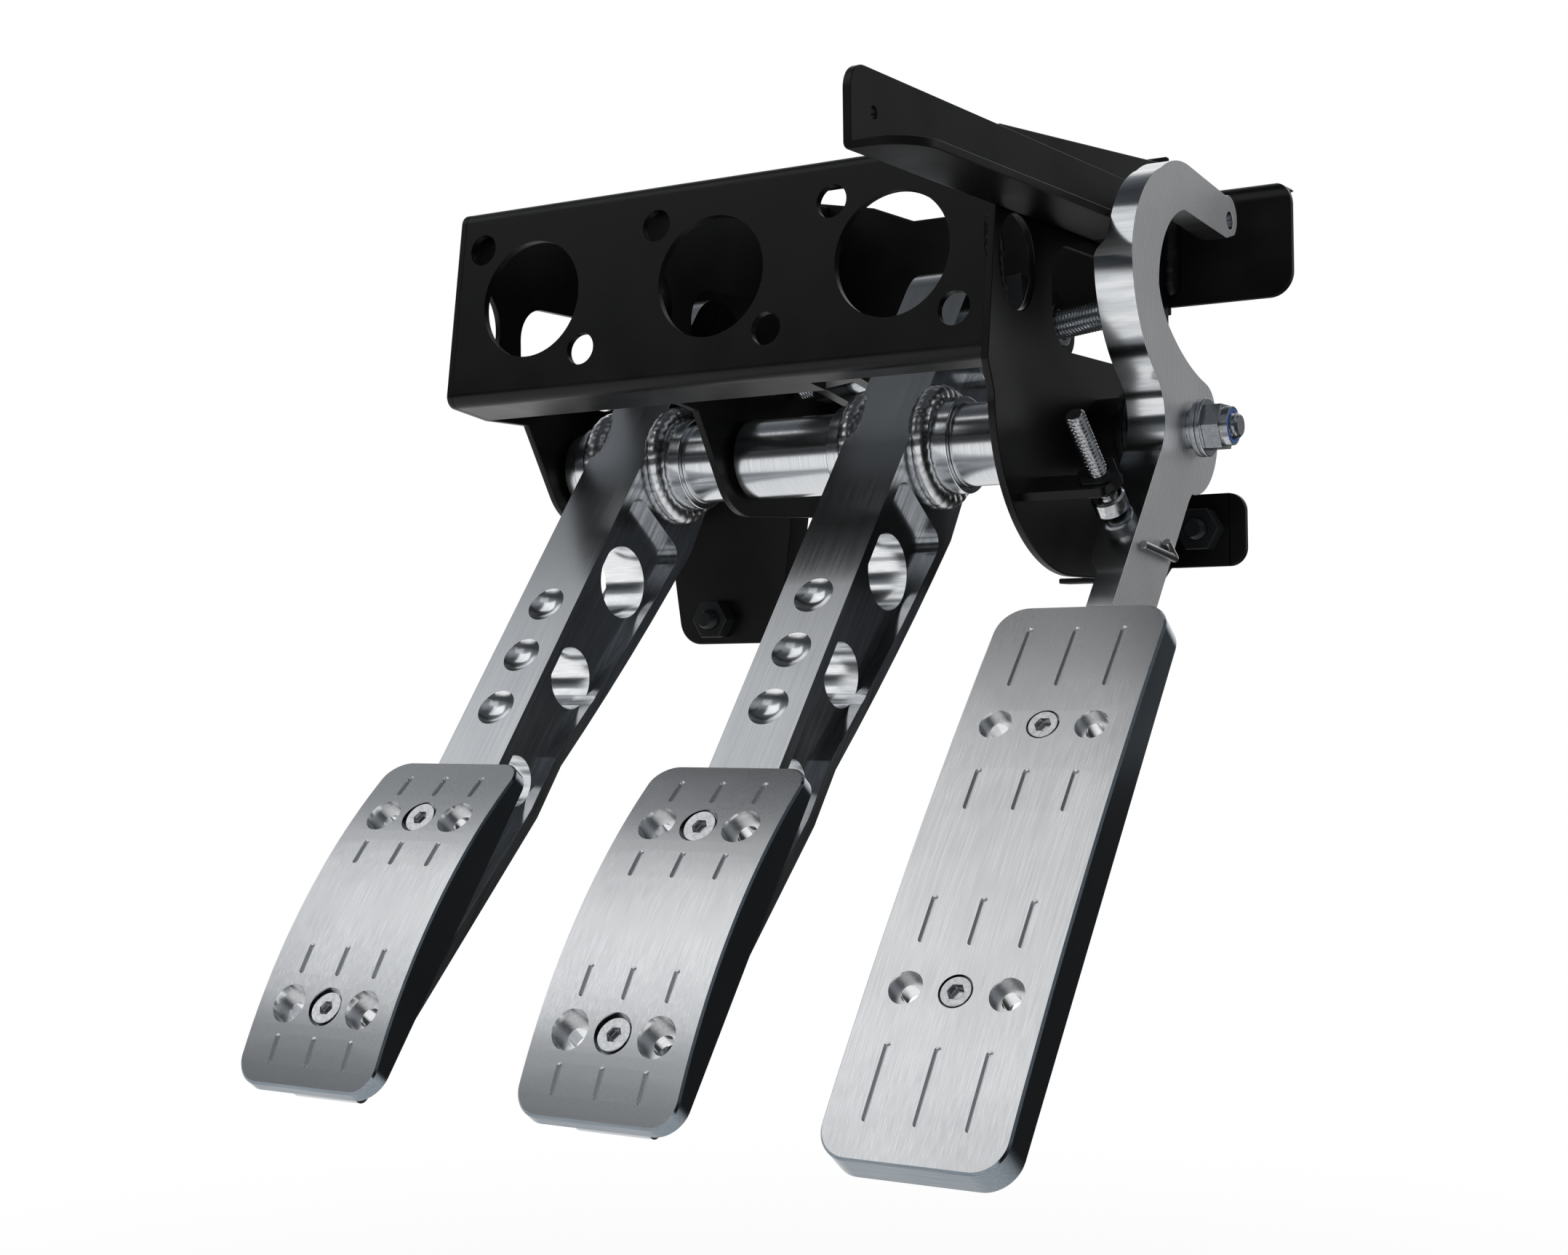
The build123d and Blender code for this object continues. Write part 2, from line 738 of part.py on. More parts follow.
def pedal_pad(x):
    """Domed pad with two rows of counterbored holes and four rows of grip grooves."""
    back = -arm_setback
    top = -pad_reach
    bottom = top - pad_length
    middle = (top + bottom) / 2
    hole_places = [(c, -row) for row in pad_hole_rows for c in (-hole_column, 0, hole_column)]
    with BuildPart() as pad:
        with BuildSketch(leaning_plane(x - pad_width / 2, pedal_lean)):
            with BuildLine():
                Polyline((back - pad_end_t, bottom), (back, bottom), (back, top), (back - pad_end_t, top))
                ThreePointArc(
                    (back - pad_end_t, top),
                    (back - pad_thickness, middle),
                    (back - pad_end_t, bottom),
                )
            make_face()
        extrude(amount=pad_width)
        with BuildSketch(facing_plane(x, pedal_lean, back, middle)):
            RectangleRounded(pad_width, pad_length, pad_corner)
        extrude(amount=2 * pad_thickness, mode=Mode.INTERSECT)
        dome = pad.faces().filter_by(GeomType.CYLINDER).sort_by(SortBy.AREA)[-1]
        chamfer(dome.edges(), pad_break)
        for start, length in pad_groove_rows:
            with BuildSketch(pad_surface_plane(x, start + length / 2)):
                with Locations((-hole_column, 0), (0, 0), (hole_column, 0)):
                    SlotOverall(length, groove_width, rotation=90)
            extrude(amount=-groove_depth, mode=Mode.SUBTRACT)
        with BuildSketch(facing_plane(x, pedal_lean, back, top)):
            with Locations(hole_places):
                Circle(screw_d / 2 + fit_gap)
        extrude(amount=pad_thickness, mode=Mode.SUBTRACT)
        with BuildSketch(facing_plane(x, pedal_lean, back - pad_seat, top)):
            with Locations(hole_places):
                Circle(pad_counterbore_d / 2)
        extrude(amount=pad_thickness, mode=Mode.SUBTRACT)
    return pad.part


def pad_screws(plane, places, diameter, head_d, head_t, length):
    """Low socket screws with their heads on a seat plane and their shanks going in behind it."""
    with BuildPart() as screws:
        with BuildSketch(plane):
            with Locations(places):
                Circle(head_d / 2)
        extrude(amount=head_t)
        with BuildSketch(plane):
            with Locations(places):
                Circle(diameter / 2)
        extrude(amount=-length)
        with BuildSketch(plane.offset(head_t)):
            with Locations(places):
                RegularPolygon(screw_hex / 2, 6, major_radius=False)
        extrude(amount=-screw_hex_depth, mode=Mode.SUBTRACT)
    return screws.part


# Clutch and brake pads, screws, hubs, bushes and welds
for name, x in (("clutch", clutch_x), ("brake", brake_x)):
    left, right = hub_ends(name)
    seat = facing_plane(x, pedal_lean, -arm_setback - pad_seat, -pad_reach)
    rows = [(0, -row) for row in pad_hole_rows]
    pieces = {
        "hub": pedal_hub(x, left, right),
        "bushes": pedal_bushes(left, right),
        "hub_welds": hub_welds(x),
        "pad": pedal_pad(x),
        "pad_screws": pad_screws(seat, rows, screw_d, screw_head_d, screw_head_t, screw_length),
    }
    for piece, solid in pieces.items():
        solid.label = f"{name}_{piece}"
        export_step(solid, f"parts/{name}_{piece}.step")

# Clutch arm, whose head is a thin lug with the pushrod eye
with BuildPart() as clutch_arm:
    clutch_blank = pedal_arm(clutch_x)
    add(clutch_blank)
    lug_bottom_along = head_height - clutch_lug_drop
    side_cut = (arm_width - clutch_lug_t) / 2 + cutter_radius
    lug_height = head_radius + clutch_lug_drop + cutter_radius
    lug_middle = lug_bottom_along + lug_height / 2
    with BuildSketch(facing_plane(clutch_x, pedal_lean, -arm_setback - sheet, lug_middle)):
        for way in (-1, 1):
            with Locations((way * (clutch_lug_t + side_cut) / 2, 0)):
                RectangleRounded(side_cut, lug_height, cutter_radius - running_gap)
            with Locations((way * (clutch_lug_t / 2 + side_cut), 0)):
                Rectangle(side_cut, lug_height)
            with Locations((way * (clutch_lug_t + side_cut) / 2, lug_height / 2)):
                Rectangle(side_cut, lug_height)
    extrude(amount=-(2 * head_radius + 2 * sheet), mode=Mode.SUBTRACT)
    with BuildSketch(leaning_plane(clutch_x - arm_width / 2, pedal_lean)):
        with Locations((bar_behind_pivot, bar_above_pivot)):
            Circle(stud_d / 2)
    extrude(amount=arm_width, mode=Mode.SUBTRACT)
clutch_arm.part.label = "clutch_arm"
export_step(clutch_arm.part, "parts/clutch_arm.step")

# Brake arm, bored for the balance bar's tube
with BuildPart() as brake_arm:
    brake_blank = pedal_arm(brake_x)
    add(brake_blank)
    with BuildSketch(leaning_plane(brake_x - arm_width / 2, pedal_lean)):
        with Locations((bar_behind_pivot, bar_above_pivot)):
            Circle(bar_tube_d / 2 + fit_gap)
    extrude(amount=arm_width, mode=Mode.SUBTRACT)
brake_arm.part.label = "brake_arm"
export_step(brake_arm.part, "parts/brake_arm.step")

# Balance bar, its tube in the brake arm and its spherical bearing
bar_centre = leaning_plane(brake_x, pedal_lean).from_local_coords((bar_behind_pivot, bar_above_pivot, 0))
bar_way = Vector(cos(radians(bar_tilt)), 0, sin(radians(bar_tilt)))


def bar_plane(distance):
    """Plane square to the balance bar, at a distance to the right of its middle."""
    return Plane(origin=bar_centre + bar_way * distance, x_dir=(0, 1, 0), z_dir=bar_way)


clevis_distance = (rear_brake_x - front_brake_x) / 2 / cos(radians(bar_tilt))

with BuildPart() as balance_tube:
    tube_end = bar_centre - Vector(bar_tube_length / 2, 0, 0)
    with BuildSketch(Plane(origin=tube_end, x_dir=(0, 1, 0), z_dir=(1, 0, 0))):
        Circle(bar_tube_d / 2)
        Circle(bar_tube_bore / 2, mode=Mode.SUBTRACT)
    extrude(amount=bar_tube_length)
balance_tube.part.label = "balance_tube"
export_step(balance_tube.part, "parts/balance_tube.step")

with BuildPart() as balance_bearing:
    with BuildSketch(Plane(origin=bar_centre, x_dir=bar_way, z_dir=(0, -1, 0))) as section:
        Circle(bar_ball_d / 2)
        Rectangle(bar_ball_width, bar_ball_d, mode=Mode.INTERSECT)
        with Locations((0, -bar_ball_d / 2)):
            Rectangle(bar_ball_width, bar_ball_d + bar_d + 2 * fit_gap, mode=Mode.SUBTRACT)
    revolve(axis=Axis(bar_centre, bar_way))
balance_bearing.part.label = "balance_bearing"
export_step(balance_bearing.part, "parts/balance_bearing.step")

with BuildPart() as balance_bar:
    with BuildSketch(bar_plane(-bar_length / 2)):
        Circle(bar_d / 2)
    extrude(amount=bar_length)
    chamfer(balance_bar.edges(), bar_d / 12)
balance_bar.part.label = "balance_bar"
export_step(balance_bar.part, "parts/balance_bar.step")

with BuildPart() as bar_nut:
    nut_end = -clevis_distance - barrel_length / 2 - running_gap
    with BuildSketch(bar_plane(nut_end)):
        RegularPolygon(bar_nut_hex / 2, 6, major_radius=False)
        Circle(bar_d / 2 + fit_gap, mode=Mode.SUBTRACT)
    extrude(amount=-bar_nut_t)
bar_nut.part.label = "bar_nut"
export_step(bar_nut.part, "parts/bar_nut.step")


def bar_barrel(distance):
    """Threaded barrel on the balance bar, on which a clevis swings."""
    with BuildPart() as barrel:
        with BuildSketch(bar_plane(distance - barrel_length / 2)):
            Circle(barrel_d / 2)
            Circle(bar_d / 2 + fit_gap, mode=Mode.SUBTRACT)
        extrude(amount=barrel_length)
    return barrel.part


def bar_clevis(distance, hole_x):
    """U-shaped clevis round a barrel, with a threaded hole that points at its cylinder hole."""
    gap = clevis_width - 2 * clevis_ear_t
    centre = bar_centre + bar_way * distance
    to_hole = Vector(hole_x, 0, 0) - centre
    away = (bar_way * to_hole.dot(bar_way) - to_hole).normalized()
    middle = Plane(origin=centre, x_dir=away, z_dir=bar_way)
    with BuildPart() as clevis:
        with BuildSketch(middle.offset(-clevis_width / 2)):
            Circle(clevis_ear_r)
            with Locations((-clevis_reach / 2, 0)):
                Rectangle(clevis_reach, 2 * clevis_ear_r)
        extrude(amount=clevis_width)
        with BuildSketch(middle.offset(-gap / 2)):
            with Locations(((clevis_base_t - clevis_reach + 2 * clevis_ear_r) / 2, 0)):
                Rectangle(clevis_reach - clevis_base_t + 2 * clevis_ear_r, 4 * clevis_ear_r)
        extrude(amount=gap, mode=Mode.SUBTRACT)
        with BuildSketch(middle.offset(-clevis_width / 2)):
            Circle(barrel_d / 2 + fit_gap)
        extrude(amount=clevis_width, mode=Mode.SUBTRACT)
        with BuildSketch(Plane(origin=centre - away * clevis_reach, x_dir=bar_way, z_dir=away * -1)):
            Circle(clevis_thread_d / 2)
        extrude(amount=-clevis_reach, mode=Mode.SUBTRACT)
    return clevis.part


for name, distance, hole_x in (
    ("front_brake", -clevis_distance, front_brake_x),
    ("rear_brake", clevis_distance, rear_brake_x),
):
    barrel = bar_barrel(distance)
    barrel.label = f"{name}_barrel"
    export_step(barrel, f"parts/{name}_barrel.step")
    clevis = bar_clevis(distance, hole_x)
    clevis.label = f"{name}_clevis"
    export_step(clevis, f"parts/{name}_clevis.step")


def down_throttle(depth, along):
    """Point (y, z) from the pivot, from a depth behind it and a height up the throttle arm."""
    a = radians(throttle_lean)
    return (depth * cos(a) + along * sin(a), along * cos(a) - depth * sin(a))


def throttle_outline():
    """Side outline of the throttle arm round the pivot: toe, waist, hook, boss and straight back."""
    boss_start, boss_rear, boss_end = [
        (throttle_boss_r * cos(radians(angle)), throttle_boss_r * sin(radians(angle)))
        for angle in (boss_top_angle, boss_rear_angle, boss_low_angle)
    ]
    waist = down_throttle(-throttle_setback, -24)
    toe_rear = -throttle_setback + throttle_toe_depth
    with BuildSketch() as outline:
        with BuildLine():
            Line(down_throttle(-throttle_setback, -throttle_reach), waist)
            ThreePointArc(waist, (-21.4, 3.0), (-28.0, 13.8))
            ThreePointArc((-28.0, 13.8), (-38.6, 27.0), (-43.5, 46.5))
            ThreePointArc((-43.5, 46.5), (-36.5, 63.9), (-21.0, 74.9))
            ThreePointArc((-21.0, 74.9), (-10.0, 78.9), (2.3, 78.9))
            Line((2.3, 78.9), (30.0, 75.3))
            ThreePointArc((30.0, 75.3), (39.0, 69.5), (36.5, 63.8))
            Polyline((36.5, 63.8), (30.0, 62.0), (-4.0, 65.1))
            ThreePointArc((-4.0, 65.1), (-20.5, 53.4), (-24.3, 40.1))
            ThreePointArc((-24.3, 40.1), (-22.2, 35.0), (-17.2, 28.7))
            ThreePointArc((-17.2, 28.7), (-3.2, 19.6), boss_start)
            ThreePointArc(boss_start, boss_rear, boss_end)
            Polyline(
                boss_end,
                down_throttle(throttle_rear, -throttle_boss_r),
                down_throttle(throttle_rear, -throttle_pad_reach),
                down_throttle(toe_rear, -throttle_reach),
                down_throttle(-throttle_setback, -throttle_reach),
            )
        make_face()
        fillet(outline.vertices().sort_by_distance(Vector(*boss_start))[0], throttle_boss_r / 2)
    return outline.sketch


# Throttle arm, with its cable hook and thicker middle
with BuildPart() as throttle_arm:
    profile = throttle_outline()
    thin_left = throttle_face_x - throttle_thin
    thick_left = throttle_face_x - throttle_thick
    with BuildSketch(leaning_plane(thick_left, 0)):
        add(profile)
    extrude(amount=throttle_thick)
    with BuildSketch(Plane(origin=(0, pivot_y, pivot_z), x_dir=(1, 0, 0), z_dir=(0, -1, 0))):
        with BuildLine():
            Line((thin_left, throttle_reach), (thin_left, thick_top + thick_run))
            down = [(0, -1), (0, -1)]
            Spline((thin_left, thick_top + thick_run), (thick_left, thick_top), tangents=down)
            Line((thick_left, thick_top), (thick_left, thick_bottom))
            Spline((thick_left, thick_bottom), (thin_left, thick_bottom - thick_run), tangents=down)
            Polyline(
                (thin_left, thick_bottom - thick_run),
                (thin_left, -2 * throttle_reach),
                (throttle_face_x, -2 * throttle_reach),
                (throttle_face_x, throttle_reach),
                (thin_left, throttle_reach),
            )
        make_face()
    extrude(amount=2 * throttle_reach, both=True, mode=Mode.INTERSECT)
    with BuildSketch(leaning_plane(thick_left, 0)):
        Circle(bush_d / 2 + fit_gap)
        with Locations(cable_hole):
            Circle(cable_hole_d / 2)
    extrude(amount=throttle_thick, mode=Mode.SUBTRACT)
    with BuildSketch(facing_plane(throttle_pad_x, throttle_lean, -throttle_setback, 0)):
        with Locations([(0, -throttle_pad_reach - row) for row in throttle_hole_rows]):
            Circle(throttle_screw_d / 2 + fit_gap)
    extrude(amount=-screw_length, mode=Mode.SUBTRACT)
throttle_arm.part.label = "throttle_arm"
export_step(throttle_arm.part, "parts/throttle_arm.step")

with BuildPart() as throttle_bush:
    with BuildSketch(leaning_plane(thick_left, 0)):
        Circle(bush_d / 2)
        Circle(pivot_bolt_d / 2 + fit_gap, mode=Mode.SUBTRACT)
    extrude(amount=throttle_thick + throttle_bush_out)
throttle_bush.part.label = "throttle_bush"
export_step(throttle_bush.part, "parts/throttle_bush.step")

# Bent spring wire on the outer face of the throttle arm
with BuildPart() as throttle_spring_clip:
    wire_x = throttle_face_x + spring_wire_d / 2
    wire_points = [(-10.2, -54.7, 0), (9.5, -43.0, 0), (2.1, -43.1, 0)]
    wire_ends = [leaning_plane(wire_x, throttle_lean).from_local_coords(p) for p in wire_points]
    for end in (wire_ends[0], wire_ends[2]):
        way = end - wire_ends[1]
        with BuildSketch(Plane(origin=wire_ends[1], x_dir=(1, 0, 0), z_dir=way)):
            Circle(spring_wire_d / 2 - fit_gap)
        extrude(amount=way.length)
    with Locations(wire_ends[1]):
        Sphere(spring_wire_d / 2 - fit_gap)
throttle_spring_clip.part.label = "throttle_spring_clip"
export_step(throttle_spring_clip.part, "parts/throttle_spring_clip.step")


def throttle_surface_plane(row_centre):
    """Plane on the gently bowed face of the throttle pad, at a distance down from the pad's top edge."""
    radius = (throttle_pad_length**2 / 4 + throttle_pad_bow**2) / (2 * throttle_pad_bow)
    turn = asin((throttle_pad_length / 2 - row_centre) / radius)
    depth = -throttle_pad_front - throttle_pad_bow + radius * (1 - cos(turn))
    along = -throttle_pad_reach - row_centre
    return facing_plane(throttle_pad_x, throttle_lean, depth, along).rotated((-degrees(turn), 0, 0))


# Throttle pad, with a shallow recess at the back that takes the arm
with BuildPart() as throttle_pad:
    pad_floor = -throttle_setback
    pad_back = pad_floor + throttle_pad_rim
    pad_top = -throttle_pad_reach
    pad_bottom = pad_top - throttle_pad_length
    pad_middle = (pad_top + pad_bottom) / 2
    places = [(c, -row) for row in throttle_hole_rows for c in (-hole_column, 0, hole_column)]
    with BuildSketch(leaning_plane(throttle_pad_x - throttle_pad_width / 2, throttle_lean)):
        with BuildLine():
            Polyline(
                (-throttle_pad_front, pad_bottom),
                (pad_back, pad_bottom),
                (pad_back, pad_top),
                (-throttle_pad_front, pad_top),
            )
            ThreePointArc(
                (-throttle_pad_front, pad_top),
                (-throttle_pad_front - throttle_pad_bow, pad_middle),
                (-throttle_pad_front, pad_bottom),
            )
        make_face()
    extrude(amount=throttle_pad_width)
    with BuildSketch(facing_plane(throttle_pad_x, throttle_lean, pad_back, pad_middle)):
        RectangleRounded(throttle_pad_width, throttle_pad_length, throttle_pad_corner)
    extrude(amount=4 * throttle_pad_front, mode=Mode.INTERSECT)
    bowed = throttle_pad.faces().filter_by(GeomType.CYLINDER).sort_by(SortBy.AREA)[-1]
    chamfer(bowed.edges(), pad_break)
    with BuildSketch(facing_plane(throttle_pad_x, throttle_lean, pad_back, pad_middle)):
        RectangleRounded(
            throttle_pad_width - 2 * throttle_rim_width,
            throttle_pad_length - 2 * throttle_rim_width,
            throttle_pad_corner - throttle_rim_width,
        )
    extrude(amount=throttle_pad_rim, mode=Mode.SUBTRACT)
    with BuildSketch(facing_plane(thin_left + throttle_thin / 2, throttle_lean, pad_back, pad_top)):
        Rectangle(throttle_thin + 2 * running_gap, 4 * throttle_rim_width)
    extrude(amount=throttle_pad_rim, mode=Mode.SUBTRACT)
    for start, length in throttle_groove_rows:
        with BuildSketch(throttle_surface_plane(start + length / 2)):
            with Locations((-hole_column, 0), (0, 0), (hole_column, 0)):
                SlotOverall(length, groove_width, rotation=90)
        extrude(amount=-groove_depth, mode=Mode.SUBTRACT)
    with BuildSketch(facing_plane(throttle_pad_x, throttle_lean, pad_back, pad_top)):
        with Locations(places):
            Circle(throttle_screw_d / 2 + fit_gap)
    extrude(amount=2 * throttle_pad_front, mode=Mode.SUBTRACT)
    with BuildSketch(facing_plane(throttle_pad_x, throttle_lean, pad_floor - pad_seat, pad_top)):
        with Locations(places):
            Circle(throttle_counterbore_d / 2)
    extrude(amount=throttle_pad_front, mode=Mode.SUBTRACT)
throttle_pad.part.label = "throttle_pad"
export_step(throttle_pad.part, "parts/throttle_pad.step")

throttle_pad_screws = pad_screws(
    facing_plane(throttle_pad_x, throttle_lean, pad_floor - pad_seat, pad_top),
    [(0, -row) for row in throttle_hole_rows],
    throttle_screw_d,
    throttle_screw_head_d,
    throttle_screw_head_t,
    screw_length,
)
throttle_pad_screws.label = "throttle_pad_screws"
export_step(throttle_pad_screws, "parts/throttle_pad_screws.step")

# Black boss on the right wall, and the spacer between it and the throttle arm
with BuildPart() as pivot_boss:
    with BuildSketch(leaning_plane(right_wall_outer, 0)):
        Circle(boss_waist_d / 2)
    extrude(amount=boss_t - boss_rim_t)
    with BuildSketch(leaning_plane(right_wall_outer + boss_t - boss_rim_t, 0)):
        Circle(boss_d / 2)
    extrude(amount=boss_rim_t)
    with BuildSketch(leaning_plane(right_wall_outer, 0)):
        Circle(pivot_bolt_d / 2 + fit_gap)
    extrude(amount=boss_t, mode=Mode.SUBTRACT)
pivot_boss.part.label = "pivot_boss"
export_step(pivot_boss.part, "parts/pivot_boss.step")

with BuildPart() as throttle_spacer:
    with BuildSketch(leaning_plane(right_wall_outer + boss_t, 0)):
        Circle(spacer_d / 2)
        Circle(pivot_bolt_d / 2 + fit_gap, mode=Mode.SUBTRACT)
    extrude(amount=thick_left - running_gap - right_wall_outer - boss_t)
throttle_spacer.part.label = "throttle_spacer"
export_step(throttle_spacer.part, "parts/throttle_spacer.step")

# Through bolt, its washers, its locking nut and the nut's insert
washer_x = throttle_face_x + throttle_bush_out + running_gap
outer_washer_x = washer_x + pivot_washer_t + fit_gap
nut_x = outer_washer_x + pivot_washer_t
bolt_end_x = nut_x + pivot_nut_t + nut_collar_t + bolt_overhang
head_x = left_wall_x - pivot_washer_t

with BuildPart() as pivot_bolt:
    with BuildSketch(leaning_plane(head_x, 0)):
        Circle(pivot_bolt_d / 2)
    extrude(amount=bolt_end_x - head_x)
    chamfer(pivot_bolt.edges().group_by(Axis.X)[-1], pivot_bolt_d / 12)
    with BuildSketch(leaning_plane(head_x, 0)):
        RegularPolygon(pivot_hex / 2, 6, major_radius=False)
    extrude(amount=-pivot_head)
pivot_bolt.part.label = "pivot_bolt"
export_step(pivot_bolt.part, "parts/pivot_bolt.step")

with BuildPart() as pivot_washers:
    with BuildSketch(*[leaning_plane(start, 0) for start in (head_x, washer_x, outer_washer_x)]):
        Circle(pivot_washer_d / 2)
        Circle(pivot_bolt_d / 2 + fit_gap, mode=Mode.SUBTRACT)
    extrude(amount=pivot_washer_t)
pivot_washers.part.label = "pivot_washers"
export_step(pivot_washers.part, "parts/pivot_washers.step")

with BuildPart() as pivot_nut:
    with BuildSketch(leaning_plane(nut_x, 0)):
        RegularPolygon(pivot_hex / 2, 6, major_radius=False)
        Circle(pivot_bolt_d / 2 + fit_gap, mode=Mode.SUBTRACT)
    extrude(amount=pivot_nut_t)
    with BuildSketch(leaning_plane(nut_x + pivot_nut_t, 0)):
        Circle(nut_collar_d / 2)
        Circle(nut_insert_d / 2 + fit_gap, mode=Mode.SUBTRACT)
    extrude(amount=nut_collar_t)
pivot_nut.part.label = "pivot_nut"
export_step(pivot_nut.part, "parts/pivot_nut.step")

with BuildPart() as nut_insert:
    with BuildSketch(leaning_plane(nut_x + pivot_nut_t, 0)):
        Circle(nut_insert_d / 2)
        Circle(pivot_bolt_d / 2 + fit_gap, mode=Mode.SUBTRACT)
    extrude(amount=nut_collar_t)
nut_insert.part.label = "nut_insert"
export_step(nut_insert.part, "parts/nut_insert.step")

# Throttle stop: a tab on the right wall, a socket screw through it and a lock nut
stop_tip = stop_head_d / 2 * sin(radians(stop_lean - throttle_lean))
contact = leaning_plane(stop_x, throttle_lean).from_local_coords(
    (-throttle_setback - running_gap - stop_tip, stop_along, 0)
)
stop_way = Vector(0, -cos(radians(stop_lean)), sin(radians(stop_lean)))
tab_distance = stop_head_t + stop_under_tab
nut_distance = tab_distance + running_gap


def stop_plane(distance):
    """Plane square to the stop screw, facing the driver, at a distance back from the arm."""
    return Plane(origin=contact + stop_way * distance, x_dir=(1, 0, 0), z_dir=stop_way)


with BuildPart() as stop_bolt:
    with BuildSketch(stop_plane(0)):
        Circle(stop_head_d / 2)
    extrude(amount=stop_head_t)
    with BuildSketch(stop_plane(stop_head_t)):
        Circle(stop_thread_d / 2)
    extrude(amount=stop_length)
stop_bolt.part.label = "stop_bolt"
export_step(stop_bolt.part, "parts/stop_bolt.step")

with BuildPart() as stop_tab:
    slope = radians(stop_tab_slope)
    tab_plane = Plane(
        origin=contact + stop_way * tab_distance,
        x_dir=(1, 0, 0),
        z_dir=(0, -sin(slope), cos(slope)),
    )
    with BuildSketch(tab_plane) as outline:
        left = right_wall_outer - stop_x
        right = stop_tab_x - stop_x
        with Locations(((left + right) / 2, (stop_tab_rear - stop_tab_front) / 2)):
            Rectangle(right - left, stop_tab_rear + stop_tab_front)
        fillet(outline.vertices().sort_by(Axis.X)[2:], sheet)
    extrude(amount=sheet)
    with BuildSketch(stop_plane(0)):
        Circle(stop_thread_d / 2 + fit_gap)
    extrude(amount=stop_length, mode=Mode.SUBTRACT)
    with BuildSketch(stop_plane(nut_distance)):
        RegularPolygon(stop_nut_hex / 2 + fit_gap, 6, major_radius=False)
    extrude(amount=stop_length, mode=Mode.SUBTRACT)
stop_tab.part.label = "stop_tab"
export_step(stop_tab.part, "parts/stop_tab.step")

with BuildPart() as stop_nut:
    with BuildSketch(stop_plane(nut_distance)):
        RegularPolygon(stop_nut_hex / 2, 6, major_radius=False)
        Circle(stop_thread_d / 2 + fit_gap, mode=Mode.SUBTRACT)
    extrude(amount=stop_nut_t)
stop_nut.part.label = "stop_nut"
export_step(stop_nut.part, "parts/stop_nut.step")
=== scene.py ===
"""Dresses a hanging pedal box: folded black steel, milled aluminium pedals and bright fasteners, on white."""

import json
from math import cos, pi, radians, sin

import bmesh
import bpy
import numpy as np
from mathutils import Matrix, Vector


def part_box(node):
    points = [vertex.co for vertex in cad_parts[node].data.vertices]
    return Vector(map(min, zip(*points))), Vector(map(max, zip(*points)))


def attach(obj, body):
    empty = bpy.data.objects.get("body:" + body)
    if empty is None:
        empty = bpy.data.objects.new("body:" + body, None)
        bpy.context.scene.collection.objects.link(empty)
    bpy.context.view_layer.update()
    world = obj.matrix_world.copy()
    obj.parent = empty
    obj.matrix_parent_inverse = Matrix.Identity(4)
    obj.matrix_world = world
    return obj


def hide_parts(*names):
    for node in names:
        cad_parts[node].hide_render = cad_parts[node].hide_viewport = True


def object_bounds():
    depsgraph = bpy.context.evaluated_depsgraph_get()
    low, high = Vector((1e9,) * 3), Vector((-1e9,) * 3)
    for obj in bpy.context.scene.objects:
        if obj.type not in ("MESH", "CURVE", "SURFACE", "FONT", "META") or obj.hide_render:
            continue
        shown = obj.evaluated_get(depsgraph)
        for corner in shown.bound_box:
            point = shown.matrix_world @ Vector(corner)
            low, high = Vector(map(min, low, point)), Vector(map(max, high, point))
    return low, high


bl_info = {
    "name": "Pedal Box",
    "version": (1, 0, 0),
    "blender": (4, 5, 0),
    "location": "3D View > Sidebar > Pedal Box",
    "description": "Milled, welded and painted surfaces for a hanging pedal box",
    "category": "Object",
}

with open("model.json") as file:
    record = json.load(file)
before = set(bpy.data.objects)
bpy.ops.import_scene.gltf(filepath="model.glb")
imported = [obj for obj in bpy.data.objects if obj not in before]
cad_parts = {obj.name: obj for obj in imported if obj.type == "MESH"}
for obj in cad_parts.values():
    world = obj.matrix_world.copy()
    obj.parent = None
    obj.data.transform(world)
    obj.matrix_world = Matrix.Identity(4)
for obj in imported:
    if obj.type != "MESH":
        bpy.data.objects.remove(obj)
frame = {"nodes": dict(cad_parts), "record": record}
cad_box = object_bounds()

MM = 0.001
RECORD = frame["record"]
BODY_OF = {node: body for body, nodes in RECORD["behaviour"]["bodies"].items() for node in nodes}

# X is right, Y forward, away from the driver, and Z up. Sizes and places are in millimetres; those of the
# stage, and the lengths that a user may change, are in metres
JOINT = {joint["name"]: np.array(joint["pos_m"]) / MM for joint in RECORD["behaviour"]["joints"]}
MOUNT = {mount["name"]: np.array(mount["pos_m"]) / MM for mount in RECORD["mounts"]}
PIVOT_YZ = JOINT["brake_pivot"][1:]
THROTTLE_PAD_X = 124.7

# Angles from the vertical: the arms, with the pads along them, lean so that their feet come nearer to the
# driver, and the front plate leans so that its top does
LEAN = radians(38.1)
THROTTLE_LEAN = radians(38.4)
PLATE_TILT = radians(8.3)

# The pads' holes: rows as distances down from the pivot, columns to either side of the middle, and radii
PAD_ROWS = (164.4, 230.0)
THROTTLE_ROWS = (127.0, 208.7)
HOLE_COLUMN = 14.0
PAD_HOLE_RADIUS = 5.8
THROTTLE_HOLE_RADIUS = 4.7

# Where a shiny surface sees the bright backdrop, and where its floor ends in the dim room
BACKDROP_WAY = (-0.531, 0.847, -0.1)
FAR_RIGHT_WAY = (0.8, 0.6, 0.0)

# The photograph's camera: which way its picture's right and bottom lie
CAMERA_RIGHT = Vector((0.845165, 0.534370, -0.012023))
CAMERA_DOWN = Vector((-0.021108, 0.010892, -0.999718))


def facing(lean):
    """The way that a leaning pad's face looks, and the way up along the pad."""
    return np.array([0.0, -cos(lean), sin(lean)]), np.array([0.0, sin(lean), cos(lean)])


PAD_NORMAL = facing(LEAN)[0]


